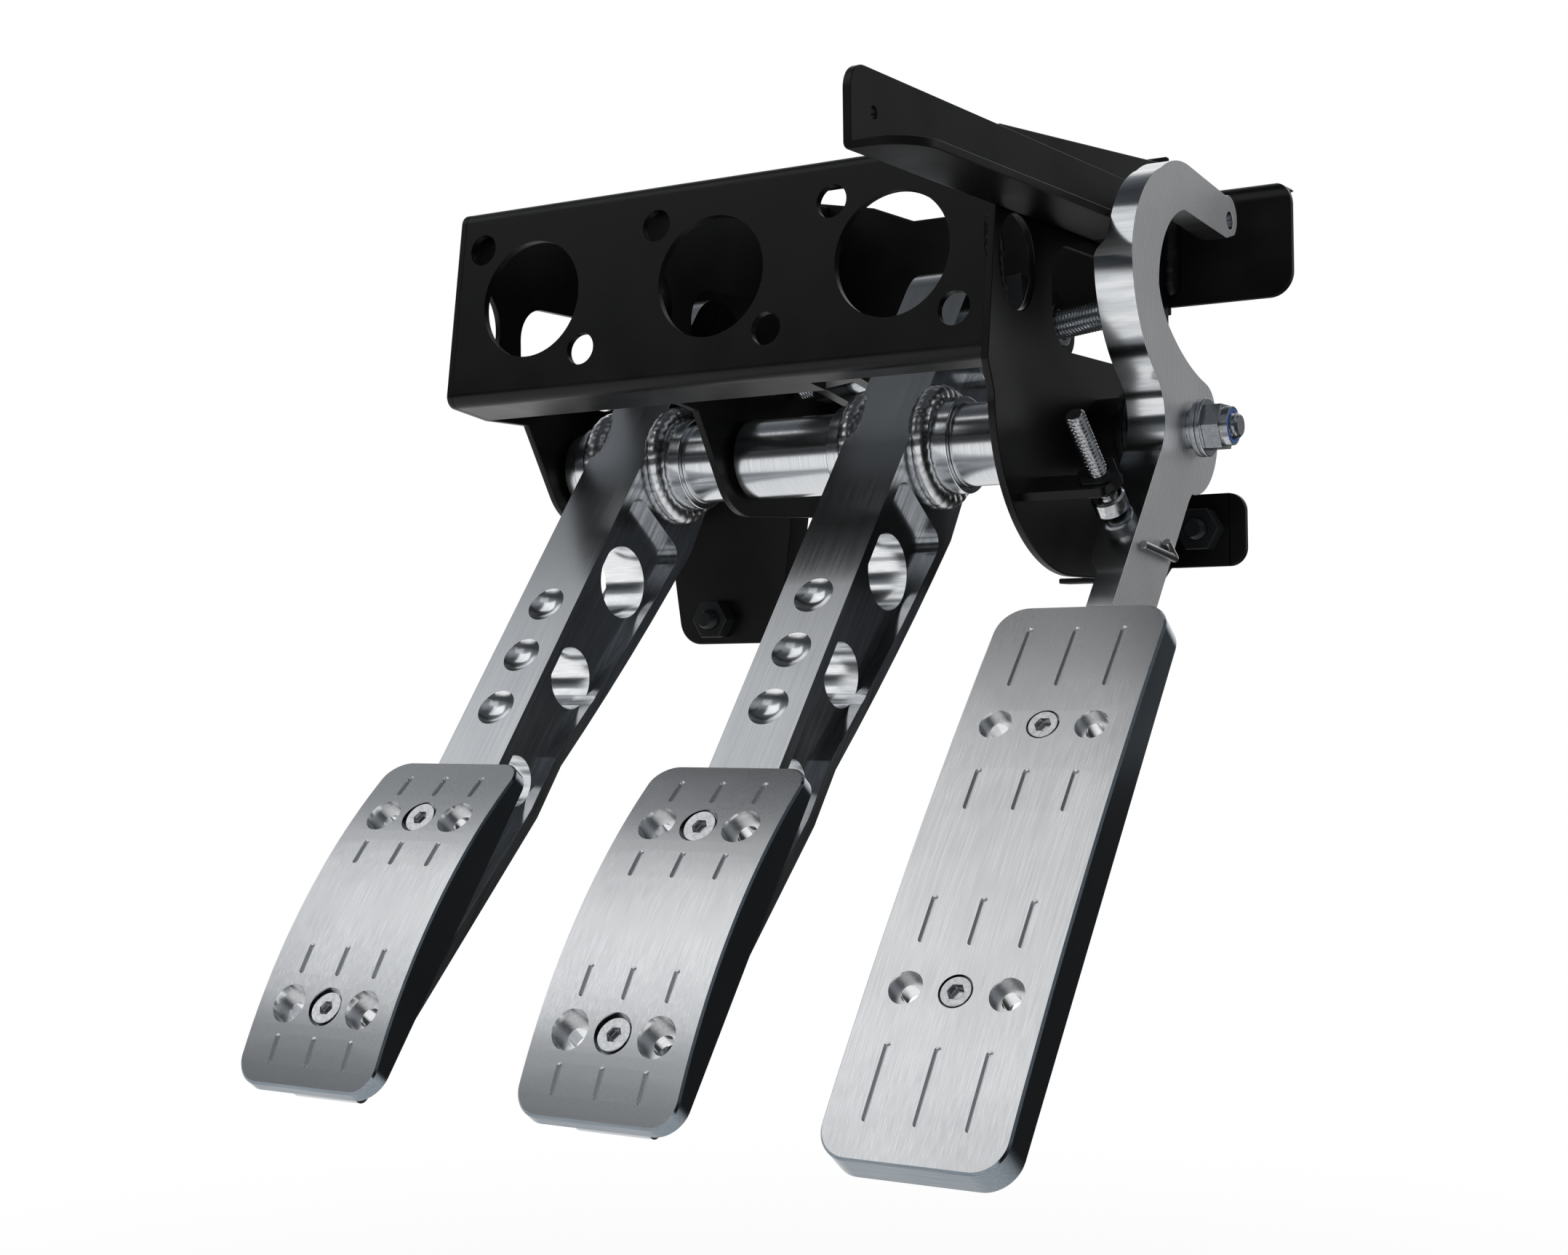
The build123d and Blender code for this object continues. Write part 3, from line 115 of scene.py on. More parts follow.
# Colours and nodes

def srgb(code):
    """A colour written as sRGB hex, turned to linear numbers."""
    parts = [int(code[i:i + 2], 16) / 255 for i in (1, 3, 5)]
    return tuple(c / 12.92 if c <= 0.04045 else ((c + 0.055) / 1.055) ** 2.4 for c in parts)


def add_node(tree, kind, inputs=None, links=None, **settings):
    """Adds one shader node with its options and input values, and links its inputs to other outputs."""
    node = tree.nodes.new(kind)
    for key, value in settings.items():
        setattr(node, key, value)
    for key, value in (inputs or {}).items():
        node.inputs[key].default_value = value
    for key, socket in (links or {}).items():
        tree.links.new(socket, node.inputs[key])
    return node


def new_material(name):
    """An empty node material with its output, and the Object coordinates that its patterns read."""
    material = bpy.data.materials.new(name)
    material.use_nodes = True
    tree = material.node_tree
    tree.nodes.clear()
    output = add_node(tree, "ShaderNodeOutputMaterial")
    place = add_node(tree, "ShaderNodeTexCoord").outputs["Object"]
    return material, tree, output, place


def ramp(tree, socket, stops):
    """A colour ramp with (position, colour) stops, the colours as sRGB hex."""
    node = add_node(tree, "ShaderNodeValToRGB", links={"Fac": socket})
    elements = node.color_ramp.elements
    while len(elements) < len(stops):
        elements.new(0.5)
    for element, (position, code) in zip(elements, stops):
        element.position = position
        element.color = (*srgb(code), 1)
    return node.outputs["Color"]


def noise(tree, place, grain, detail, **inputs):
    """A noise pattern whose cells are about one grain across."""
    return add_node(tree, "ShaderNodeTexNoise", {"Scale": 1 / (grain * MM), "Detail": detail, **inputs},
                    {"Vector": place}).outputs["Fac"]


def spread(tree, socket, low, high, start=0.3, end=0.7):
    """A value moved from one range to another."""
    return add_node(tree, "ShaderNodeMapRange",
                    {"From Min": start, "From Max": end, "To Min": low, "To Max": high},
                    {"Value": socket}).outputs["Result"]


def bump(tree, height, depth, strength):
    """A height pattern of a given depth, as a tilt of the surface."""
    return add_node(tree, "ShaderNodeBump", {"Strength": strength, "Distance": depth * MM},
                    {"Height": height}).outputs["Normal"]


def close_material(material, tree, output, inputs, links):
    """Ends a material with one Principled shader."""
    shader = add_node(tree, "ShaderNodeBsdfPrincipled", inputs, links)
    tree.links.new(shader.outputs["BSDF"], output.inputs["Surface"])
    return material


# Materials

def dark_coat(name, paint, light, rough, peel):
    """A near black satin coat on steel, with fine orange peel that breaks up a highlight and cloudy gloss."""
    material, tree, output, place = new_material(name)
    cloud = noise(tree, place, grain=22, detail=4.0)
    colour = ramp(tree, cloud, [(0.3, paint), (0.75, light)])
    orange_peel = noise(tree, place, grain=0.9, detail=2.0, Roughness=0.5)
    return close_material(material, tree, output, {"Specular IOR Level": 0.24}, {
        "Base Color": colour, "Roughness": spread(tree, cloud, rough - 0.05, rough + 0.06),
        "Normal": bump(tree, orange_peel, peel, strength=0.22)})


def bare_metal(material, tree, output, pattern, tint, dark, reach, rough, height, depth):
    """Ends a bare metal: a pattern shifts its colour between two tints and its roughness about a middle."""
    colour = ramp(tree, pattern, [(0.5 - reach, dark), (0.5 + reach, tint)])
    return close_material(material, tree, output, {"Metallic": 1.0}, {
        "Base Color": colour, "Roughness": spread(tree, pattern, rough * 1.2, rough * 0.8),
        "Normal": bump(tree, height, depth, strength=0.3)})


def cut_aluminium(name, tint, dark, cell, rough, depth, turn=0.0, clouds=0.35):
    """Bare 6000-series aluminium after a cutter, lathe tool or abrasive belt: its fine lines lie along the
    long side of a noise cell and blur a reflection across them, and broad clouds vary the shine."""
    material, tree, output, place = new_material(name)
    lay = add_node(tree, "ShaderNodeMapping",
                   {"Rotation": (turn, 0, 0), "Scale": tuple(c * MM for c in cell)},
                   {"Vector": place}, vector_type="TEXTURE").outputs["Vector"]
    lines = add_node(tree, "ShaderNodeTexNoise", {"Scale": 1.0, "Detail": 3.0, "Roughness": 0.55},
                     {"Vector": lay}).outputs["Fac"]
    broad = noise(tree, place, grain=26, detail=3.0)
    mix = add_node(tree, "ShaderNodeMix", {0: clouds}, {2: lines, 3: broad}, data_type="FLOAT").outputs[0]
    return bare_metal(material, tree, output, mix, tint, dark, 0.14, rough, height=lines, depth=depth)


def swept_aluminium(name, tint, dark, centre, pitch, rough):
    """Aluminium plate faced by a large fly cutter, which leaves arcs about a far centre."""
    material, tree, output, place = new_material(name)
    lay = add_node(tree, "ShaderNodeMapping", {"Location": tuple(c * MM for c in centre)},
                   {"Vector": place}, vector_type="TEXTURE").outputs["Vector"]
    # A ring of this texture repeats after 2 pi / 20 of a unit at scale 1
    arcs = add_node(tree, "ShaderNodeTexWave",
                    {"Scale": 2 * pi / (20 * pitch * MM), "Distortion": 0.6, "Detail": 2.0},
                    {"Vector": lay}, wave_type="RINGS", rings_direction="X").outputs["Fac"]
    broad = noise(tree, place, grain=18, detail=3.0)
    mix = add_node(tree, "ShaderNodeMix", {0: 0.6}, {2: arcs, 3: broad}, data_type="FLOAT").outputs[0]
    return bare_metal(material, tree, output, mix, tint, dark, 0.22, rough, height=arcs, depth=0.012)


def bright_metal(name, tint, dark, rough, grain, depth):
    """An even bright metal, such as plated or polished steel, with a faint fine mottle."""
    material, tree, output, place = new_material(name)
    mottle = noise(tree, place, grain, detail=3.0)
    return bare_metal(material, tree, output, mottle, tint, dark, 0.15, rough, height=mottle, depth=depth)


def moulded_nylon(name, tint, light):
    """Moulded nylon: saturated and slightly waxy."""
    material, tree, output, place = new_material(name)
    grain = noise(tree, place, grain=0.6, detail=2.0)
    return close_material(material, tree, output, {"Roughness": 0.42, "Subsurface Weight": 0.05}, {
        "Base Color": ramp(tree, grain, [(0.3, tint), (0.8, light)]),
        "Normal": bump(tree, grain, depth=0.03, strength=0.1)})


def finishes():
    """Each finish's maker and its settings."""
    shared = bpy.context.scene.pedal_box_finishes
    along_arm = -LEAN
    return {
        # Polyester powder coat, baked on: swallows light except where a bend turns towards a lamp
        "black_powder_coat": (dark_coat, dict(paint="#060607", light="#0b0b0c", rough=0.36, peel=0.05)),
        # Chemically blackened steel: a little lighter and shinier, so nuts stand out from the paint
        "black_oxide_steel": (dark_coat, dict(paint="#121314", light="#242628", rough=0.24, peel=0.1)),
        # Belt-brushed aluminium: satin light grey with hair lines down the pad, drawn coarser than real
        "brushed_pad": (cut_aluminium, dict(tint="#e9e9ea", dark="#dddedf", cell=(0.3, 0.3, 18),
                                            rough=shared.brushed_roughness, depth=0.003, turn=along_arm)),
        # Milled outer edges of the pads: painted shade, a dark blue-grey tint that stands for the dim side of
        # the room they face
        "cut_edge": (cut_aluminium, dict(tint="#8f989f", dark="#79828a", cell=(18, 0.5, 0.5), rough=0.14,
                                         depth=0.003)),
        # Bored and ball-milled recesses: mirror smooth, with fine lines that break a reflection into streaks
        # Their tint, lighter than the pads', is painted light that lifts the recesses out of their shade
        "bored_bright": (cut_aluminium, dict(tint="#f4f5f6", dark="#e4e6e8", cell=(6, 0.4, 6), rough=0.18,
                                             depth=0.02, turn=along_arm, clouds=0.1)),
        # Milled front of the arms: smooth mid grey, shaded by the light and dark that it mirrors
        "milled_arm": (cut_aluminium, dict(tint="#c6c8ca", dark="#bfc1c4", cell=(0.6, 0.6, 40), rough=0.22,
                                           depth=0.001, turn=along_arm)),
        # Pocketed sides of the arms: dark, with the cutter's wider streaks along the arm
        "milled_web": (cut_aluminium, dict(tint="#d4d7da", dark="#8d9196", cell=(30, 1.1, 34), rough=0.18,
                                           depth=0.008, turn=along_arm)),
        # Fly-cut face of the throttle arm: light grey with fine arcs, drawn twice as coarse as the real feed
        "faced_throttle": (swept_aluminium, dict(tint="#f2f2f3", dark="#d9dadc", centre=(0, -120, -20),
                                                 pitch=1.3, rough=0.46)),
        # Profiled edge of the throttle arm: near mirror, with bands across where the cutter stepped on
        "profiled_throttle": (cut_aluminium, dict(tint="#e2e4e6", dark="#c3c6c9", cell=(30, 3.0, 3.0),
                                                  rough=0.14, depth=0.01, clouds=0.1)),
        # Lathe-turned hubs and spacer: bright bands along the tube, with fine rings round it
        "turned_hub": (cut_aluminium, dict(tint="#e0e2e4", dark="#cccfd2", cell=(0.5, 60, 60), rough=0.2,
                                           depth=0.003)),
        # Aluminium weld metal as laid: clean and bright, with soft glints on each drop
        "weld_bead": (bright_metal, dict(tint="#dcdddf", dark="#c6c8ca", rough=0.27, grain=2.5, depth=0.02)),
        # Bright zinc plate: cool silver, a little dull
        "zinc_plate": (bright_metal, dict(tint="#c4c8cc", dark="#b4b8bd", rough=shared.plate_roughness,
                                          grain=1.0, depth=0.01)),
        # Polished stainless steel: darker than the aluminium round it, with sharp highlights
        "stainless_steel": (bright_metal, dict(tint="#d2d3d4", dark="#bdbec0", rough=0.17, grain=1.2,
                                               depth=0.006)),
        # Sintered bronze of the bushes: dull yellow-brown, with an open grain
        "sintered_bronze": (bright_metal, dict(tint="#b09a72", dark="#98835e", rough=0.36, grain=0.8,
                                               depth=0.02)),
        # Nylon insert of the lock nut: the one coloured ring on the object
        "moulded_nylon": (moulded_nylon, dict(tint="#1b4590", light="#2c62bb")),
    }


MATERIALS = {}


def finish(name):
    """The material of that name, made once."""
    if name not in MATERIALS:
        maker, settings = finishes()[name]
        MATERIALS[name] = maker(name, **settings)
    return MATERIALS[name]


# Pieces

def mesh_object(name, points, faces):
    """A mesh object at the origin from arrays of points, in metres, and lists of corners."""
    mesh = bpy.data.meshes.new(name)
    mesh.from_pydata(np.asarray(points, dtype=float).tolist(), [], faces)
    mesh.update()
    piece = bpy.data.objects.new(name, mesh)
    bpy.context.scene.collection.objects.link(piece)
    return piece


def place_piece(piece, node, material):
    """Gives a piece its material and body, and lets it stand for its CAD node."""
    piece.data.materials.clear()
    piece.data.materials.append(finish(material))
    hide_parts(node)
    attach(piece, BODY_OF[node])
    return piece


def softened(node, material, width):
    """A CAD node's own shape with its sharp edges rounded and its curved faces shaded smooth."""
    sharp = radians(28)
    shape = bmesh.new()
    shape.from_mesh(frame["nodes"][node].data)
    bmesh.ops.remove_doubles(shape, verts=shape.verts, dist=0.002 * MM)
    bmesh.ops.dissolve_limit(shape, angle_limit=radians(0.5), verts=shape.verts, edges=shape.edges)
    mesh = bpy.data.meshes.new(f"{node}_dressed")
    shape.to_mesh(mesh)
    shape.free()
    piece = bpy.data.objects.new(f"{node}_dressed", mesh)
    bpy.context.scene.collection.objects.link(piece)
    mesh.shade_smooth()
    mesh.set_sharp_from_angle(angle=sharp)
    bevel = piece.modifiers.new("rounded edges", "BEVEL")
    bevel.width = width * MM
    bevel.segments = 2
    bevel.limit_method = "ANGLE"
    bevel.angle_limit = sharp
    bevel.use_clamp_overlap = True
    bevel.harden_normals = False
    normals = piece.modifiers.new("flat faces", "WEIGHTED_NORMAL")
    normals.keep_sharp = False
    bake_modifiers(piece)
    return place_piece(piece, node, material)


def bake_modifiers(piece):
    """Writes the modifiers' result into the mesh."""
    depsgraph = bpy.context.evaluated_depsgraph_get()
    baked = bpy.data.meshes.new_from_object(piece.evaluated_get(depsgraph))
    piece.modifiers.clear()
    old = piece.data
    piece.data = baked
    bpy.data.meshes.remove(old)


def face_finish(piece, material, test):
    """Gives another finish to the faces whose centres, in millimetres, and normals pass a test."""
    mesh = piece.data
    count = len(mesh.polygons)
    centres, normals = np.empty(count * 3), np.empty(count * 3)
    index = np.empty(count, dtype=np.int32)
    mesh.polygons.foreach_get("center", centres)
    mesh.polygons.foreach_get("normal", normals)
    mesh.polygons.foreach_get("material_index", index)
    mesh.materials.append(finish(material))
    chosen = test(centres.reshape(-1, 3) / MM, normals.reshape(-1, 3))
    index[chosen] = len(mesh.materials) - 1
    mesh.polygons.foreach_set("material_index", index)
    mesh.update()


def near_ends(values, reach):
    """Which values lie close to the lowest or the highest of them."""
    return (values < values.min() + reach) | (values > values.max() - reach)


def from_axis(points, centre, axis):
    """How far each point lies from the line through a centre along a unit axis."""
    gap = points - centre
    return np.linalg.norm(gap - np.outer(gap @ axis, axis), axis=1)


def down_the_arm(x, reach, lean):
    """The place at a distance down a leaning arm from the pivot."""
    return np.array([x, *PIVOT_YZ]) - reach * facing(lean)[1]


def skin(name, stacks):
    """One mesh from stacks of closed rings of points. Quads join each ring to the next; a stack that closes
    on itself joins its last ring to its first, and any other gets a flat face on each end."""
    points, faces, start = [], [], 0
    for rings, closed in stacks:
        rows, cols = rings.shape[:2]
        corner = start + np.arange(rows * cols).reshape(rows, cols)
        low = corner if closed else corner[:-1]
        high = np.roll(corner, -1, axis=0) if closed else corner[1:]
        quads = np.stack((low, np.roll(low, -1, axis=1), np.roll(high, -1, axis=1), high), axis=-1)
        faces += quads.reshape(-1, 4).tolist()
        if not closed:
            faces += [corner[0, ::-1].tolist(), corner[-1].tolist()]
        points.append(rings.reshape(-1, 3) * MM)
        start += rows * cols
    piece = mesh_object(name, np.concatenate(points), faces)
    piece.data.shade_smooth()
    piece.data.set_sharp_from_angle(angle=radians(35))
    return piece


def swept_ring(start, way, t, radius, cols):
    """Rings of points round an axis, at the distances t along it, with a radius for each ring and angle."""
    way = np.asarray(way, dtype=float) / np.linalg.norm(way)
    side = np.cross(way, (0.0, 0.0, 1.0) if abs(way[2]) < 0.9 else (0.0, 1.0, 0.0))
    side /= np.linalg.norm(side)
    up = np.cross(way, side)
    angle = angles(cols)
    ring = np.cos(angle)[:, None] * side + np.sin(angle)[:, None] * up
    return np.asarray(start) + t[:, None, None] * way + radius[:, :, None] * ring, False


def angles(count):
    """Equal steps once round."""
    return np.linspace(0, 2 * pi, count, endpoint=False)


def turned(start, way, profile, flats=None, cols=72):
    """A turned form: at the distance t along the axis and the angle a, the point lies r(t) from it. With a
    hexagon's width across flats, r is the lesser of r(t) and half that width over the cosine of a's distance
    from a flat's middle, so that a cone cuts the hexagon's corners as on a real nut."""
    t, radius = np.array(profile, dtype=float).T
    radius = np.repeat(radius[:, None], cols, axis=1)
    if flats:
        from_flat = (angles(cols) + pi / 6) % (pi / 3) - pi / 6
        radius = np.minimum(radius, flats / 2 / np.cos(from_flat))
    return swept_ring(start, way, t, radius, cols)


def threaded(start, way, length, diameter, pitch, plain=0.0, cols=36):
    """A threaded rod: at the distance t along the axis and the angle a, the phase is t / pitch - a / 2 pi,
    and the radius is the outer one less a groove that is deepest where the phase is halfway between two
    whole numbers. The first stretch may be plain, and both ends are turned down at 45 degrees."""
    end = 0.12 * diameter
    steps = int((length - plain) / pitch * 8)
    t = np.concatenate(((0, end), np.linspace(max(plain, 0.13 * diameter), length, steps)))
    along = t[:, None]
    phase = (along / pitch - angles(cols) / (2 * pi)) % 1
    groove = 0.6 * pitch * np.clip(1.15 - 2.3 * np.abs(phase - 0.5), 0, 1) * (along >= plain)
    cone = diameter / 2 - end + np.minimum(along, length - along)
    return swept_ring(start, way, t, np.minimum(diameter / 2 - groove, cone), cols)


def laid_bead(path, along, out, width, drop, closed=False, cols=20):
    """A weld bead laid drop by drop: a circle carried along a path, whose radius at the length s and the
    angle a is the bead's own times 1 - 0.06 (1 - |cos(pi (s / drop - 0.4 cos a))|), so that each drop's front
    is a crescent. Two slow waves, with a whole number of turns over the length, make the drops uneven."""
    step = np.linalg.norm(np.diff(path, axis=0, append=path[:1]), axis=1)
    s = np.concatenate(((0,), np.cumsum(step)[:-1]))[:, None]
    angle = angles(cols)
    across = np.cross(along, out)
    ripple = 1 - 0.06 * (1 - np.abs(np.cos(pi * (s / drop - 0.4 * np.cos(angle)))))
    total = s[-1] + (step[-1] if closed else 0)
    wander = 1 + 0.04 * np.sin(6 * pi * s / total) + 0.02 * np.sin(14 * pi * s / total + 1)
    radius = width / 2 * ripple * wander
    if not closed:
        radius = radius * np.sqrt(np.clip(1 - (2 * s / total - 1) ** 8, 0.02, 1))
    ring = np.cos(angle)[None, :, None] * out[:, None, :] + np.sin(angle)[None, :, None] * across[:, None, :]
    return path[:, None, :] + radius[:, :, None] * ring, closed


def ring_bead(x, radius, width, drop):
    """A laid bead round the pivot axis, at the place x along it."""
    drops = int(2 * pi * radius / drop)
    angle = angles(drops * 8)
    out = np.stack((0 * angle, np.cos(angle), np.sin(angle)), axis=1)
    along = np.stack((0 * angle, -np.sin(angle), np.cos(angle)), axis=1)
    path = np.array([x, *PIVOT_YZ]) + radius * out
    return laid_bead(path, along, out, width, 2 * pi * radius / drops, True)


def straight_bead(start, way, length, out, width, drop):
    """A laid bead along a straight corner, its rounded back towards the direction called out."""
    way, out = np.asarray(way, dtype=float), np.asarray(out, dtype=float)
    count = int(length / drop * 8)
    path = np.asarray(start) + np.linspace(0, length, count)[:, None] * way
    ones = np.ones((count, 1))
    return laid_bead(path, ones * way, ones * out / np.linalg.norm(out), width, drop)


# Values that a user may change

class PEDALBOX_PG_finishes(bpy.types.PropertyGroup):
    """Surfaces."""
    plate_roughness: bpy.props.FloatProperty(
        name="Plating roughness", description="How dull the zinc plate is",
        default=0.22, min=0.02, max=1.0, subtype="FACTOR")
    brushed_roughness: bpy.props.FloatProperty(
        name="Pad roughness", description="How dull the brushed pads are",
        default=0.3, min=0.02, max=1.0, subtype="FACTOR")
    sheet_edge: bpy.props.FloatProperty(
        name="Sheet edge", description="Radius of the painted sheet's edges",
        default=0.0005, min=0.0, max=0.002, unit="LENGTH", subtype="DISTANCE")
    milled_edge: bpy.props.FloatProperty(
        name="Milled edge", description="Radius of the milled pieces' broken edges",
        default=0.0004, min=0.0, max=0.002, unit="LENGTH", subtype="DISTANCE")


class PEDALBOX_PG_studio(bpy.types.PropertyGroup):
    """Camera and light."""
    eye: bpy.props.FloatVectorProperty(
        name="Camera place", description="Where the camera stands",
        default=(0.38618, -0.57101, -0.12196), subtype="XYZ", unit="LENGTH")
    lens: bpy.props.FloatProperty(
        name="Lens", description="Focal length on a 36 mm wide sensor", default=51.868, min=10, max=200)
    floor_drop: bpy.props.FloatProperty(
        name="Floor drop", description="How far the floor lies below the object",
        default=0.16, min=0.0, max=1.0, unit="LENGTH", subtype="DISTANCE")
    key_radiance: bpy.props.FloatProperty(
        name="Soft box", description="Brightness of the soft boxes, where 1 is white paper",
        default=1.0, min=0, max=10)
    room_light: bpy.props.FloatProperty(
        name="Room light", description="Brightness of the light from all round", default=0.7, min=0, max=5)


# Stage

def direct_rays(tree):
    """1 for camera rays, and 1 for rays from the camera, off a shiny surface or through a clear one."""
    path = add_node(tree, "ShaderNodeLightPath").outputs
    shiny = add_node(tree, "ShaderNodeMath", links={0: path["Is Camera Ray"], 1: path["Is Glossy Ray"]},
                     operation="MAXIMUM").outputs["Value"]
    clear = add_node(tree, "ShaderNodeMath", links={0: shiny, 1: path["Is Transmission Ray"]},
                     operation="MAXIMUM").outputs["Value"]
    return path["Is Camera Ray"], clear


def lay_floor(height, size=6.0):
    """Pale paper floor that shows the object's soft shadow and turns to the white of the background with
    distance, for the camera and in reflections. Shiny surfaces see it end in the dim room at the far
    right."""
    corners = [(-size, -size, height), (size, -size, height), (size, size, height), (-size, size, height)]
    floor = mesh_object("studio_floor", corners, [(0, 1, 2, 3)])
    material, tree, output, place = new_material("white_paper_floor")
    paper = add_node(tree, "ShaderNodeTexNoise", {"Scale": 3.0, "Detail": 2.0}, {"Vector": place})
    colour = ramp(tree, paper.outputs["Fac"], [(0.2, "#f4f4f4"), (0.8, "#f7f7f7")])
    matt = add_node(tree, "ShaderNodeBsdfDiffuse", links={"Color": colour})
    white = add_node(tree, "ShaderNodeEmission", {"Color": (1, 1, 1, 1)})
    middle = add_node(tree, "ShaderNodeVectorMath", {1: (0.0, 0.0, height)}, {0: place}, operation="DISTANCE")
    fade = add_node(tree, "ShaderNodeMapRange",
                    {"From Min": 0.25, "From Max": 0.75, "To Min": 0.82, "To Max": 1.0},
                    {"Value": middle.outputs["Value"]}, interpolation_type="SMOOTHSTEP")
    camera, direct = direct_rays(tree)
    share = add_node(tree, "ShaderNodeMath", links={0: direct, 1: fade.outputs["Result"]},
                     operation="MULTIPLY")
    right = add_node(tree, "ShaderNodeVectorMath", {1: FAR_RIGHT_WAY}, {0: place}, operation="DOT_PRODUCT")
    far_right = add_node(tree, "ShaderNodeMapRange",
                         {"From Min": 0.1, "From Max": 0.5, "To Min": 1.0, "To Max": 0.03},
                         {"Value": right.outputs["Value"]}, interpolation_type="SMOOTHSTEP")
    level = add_node(tree, "ShaderNodeMath", links={0: far_right.outputs["Result"], 1: camera},
                     operation="MAXIMUM")
    tree.links.new(level.outputs["Value"], white.inputs["Strength"])
    mix = add_node(tree, "ShaderNodeMixShader", links={
        "Fac": share.outputs["Value"], 1: matt.outputs["BSDF"], 2: white.outputs["Emission"]})
    tree.links.new(mix.outputs["Shader"], output.inputs["Surface"])
    floor.data.materials.append(material)


def paint_room(context, studio):
    """White background for the camera. Shiny surfaces see it too, where the backdrop and the floor are, and
    elsewhere they see the dim room that such a corner stands in. Everything else gets even light."""
    world = bpy.data.worlds.new("white_studio")
    context.scene.world = world
    world.use_nodes = True
    tree = world.node_tree
    tree.nodes.clear()
    output = add_node(tree, "ShaderNodeOutputWorld")
    way = add_node(tree, "ShaderNodeTexCoord").outputs["Generated"]
    height = add_node(tree, "ShaderNodeSeparateXYZ", links={"Vector": way}).outputs["Z"]
    # From straight down, past the horizon in the middle, to straight up
    room = ramp(tree, spread(tree, height, low=0.0, high=1.0, start=-1.0, end=1.0), [
        (0.0, "#ffffff"), (0.43, "#f2f2f2"), (0.49, "#2a2d30"), (0.62, "#33363a"), (0.78, "#8c9094"),
        (0.87, "#7c8084"), (0.95, "#3a3d41")])
    behind = add_node(tree, "ShaderNodeVectorMath", {1: BACKDROP_WAY}, {0: way}, operation="DOT_PRODUCT")
    backdrop = add_node(tree, "ShaderNodeMapRange", {"From Min": 0.55, "From Max": 0.8},
                        {"Value": behind.outputs["Value"]}, interpolation_type="SMOOTHSTEP")
    camera, direct = direct_rays(tree)
    white = add_node(tree, "ShaderNodeMath", links={0: backdrop.outputs["Result"], 1: camera},
                     operation="MAXIMUM")
    mirrored = add_node(tree, "ShaderNodeBackground", {"Strength": 1.0}, {"Color": room})
    outside = add_node(tree, "ShaderNodeBackground", {"Color": (1, 1, 1, 1), "Strength": 1.0})
    even = add_node(tree, "ShaderNodeBackground", {"Color": (1, 1, 1, 1), "Strength": studio.room_light})
    seen = add_node(tree, "ShaderNodeMixShader", links={
        "Fac": white.outputs["Value"], 1: mirrored.outputs["Background"], 2: outside.outputs["Background"]})
    mix = add_node(tree, "ShaderNodeMixShader", links={
        "Fac": direct, 1: even.outputs["Background"], 2: seen.outputs["Shader"]})
    tree.links.new(mix.outputs["Shader"], output.inputs["Surface"])


def hang_lamps(context, studio):
    """Large soft boxes, whose power gives their faces the wanted brightness."""
    middle = (0.02, 0.0, -0.1)
    for name, spot, aim, brightness, span in (
        ("overhead_soft_box", (-0.62, -0.46, 0.66), (-0.62, 0.0, -0.1), 0.75, (1.1, 0.66)),
        ("front_soft_box", (0.05, -1.2, 0.55), middle, 0.3, (0.9, 0.5)),
        ("rear_soft_box", (0.3, 0.9, 0.8), middle, 0.5, (0.8, 0.4)),
        ("right_soft_box", (1.05, 0.72, 0.25), middle, 1.0, (0.5, 0.7)),
    ):
        lamp = bpy.data.lights.new(name, "AREA")
        lamp.shape = "RECTANGLE"
        lamp.size, lamp.size_y = span
        lamp.energy = pi * span[0] * span[1] * brightness * studio.key_radiance
        light = bpy.data.objects.new(name, lamp)
        light.location = spot
        light.rotation_euler = (Vector(aim) - Vector(spot)).to_track_quat("-Z", "Y").to_euler()
        light.visible_camera = False
        context.scene.collection.objects.link(light)


def place_camera(context, studio):
    """The photograph's camera."""
    ahead = CAMERA_RIGHT.cross(CAMERA_DOWN)
    camera = bpy.data.objects.new("camera", bpy.data.cameras.new("camera"))
    camera.data.sensor_fit = "HORIZONTAL"
    camera.data.sensor_width = 36.0
    camera.data.lens = studio.lens
    camera.data.clip_start = 0.01
    turn = Matrix((CAMERA_RIGHT, -CAMERA_DOWN, -ahead)).transposed()
    camera.matrix_world = Matrix.Translation(studio.eye) @ turn.to_4x4()
    context.scene.collection.objects.link(camera)
    context.scene.camera = camera


class PEDALBOX_OT_stage(bpy.types.Operator):
    """Floor, soft lights, white surroundings and the camera"""
    bl_idname = "pedalbox.stage"
    bl_label = "Stage"

    def execute(self, context):
        studio = context.scene.pedal_box_studio
        lay_floor(cad_box[0][2] - studio.floor_drop)
        paint_room(context, studio)
        hang_lamps(context, studio)
        place_camera(context, studio)
        context.scene.view_settings.view_transform = "Standard"
        return {"FINISHED"}


# Frame

class PEDALBOX_OT_sheet_metal(bpy.types.Operator):
    """Folded steel walls, channel, lugs and angle in black powder coat"""
    bl_idname = "pedalbox.sheet_metal"
    bl_label = "Sheet metal"

    def execute(self, context):
        edge = context.scene.pedal_box_finishes.sheet_edge / MM
        for node in ("cylinder_plate", "left_side_plate", "centre_pivot_plate", "right_side_plate",
                     "back_plate", "bulkhead_lug", "bulkhead_tab", "top_angle", "stop_tab", "pivot_boss",
                     "lower_strip"):
            softened(node, "black_powder_coat", edge)
        frame_beads()
        return {"FINISHED"}


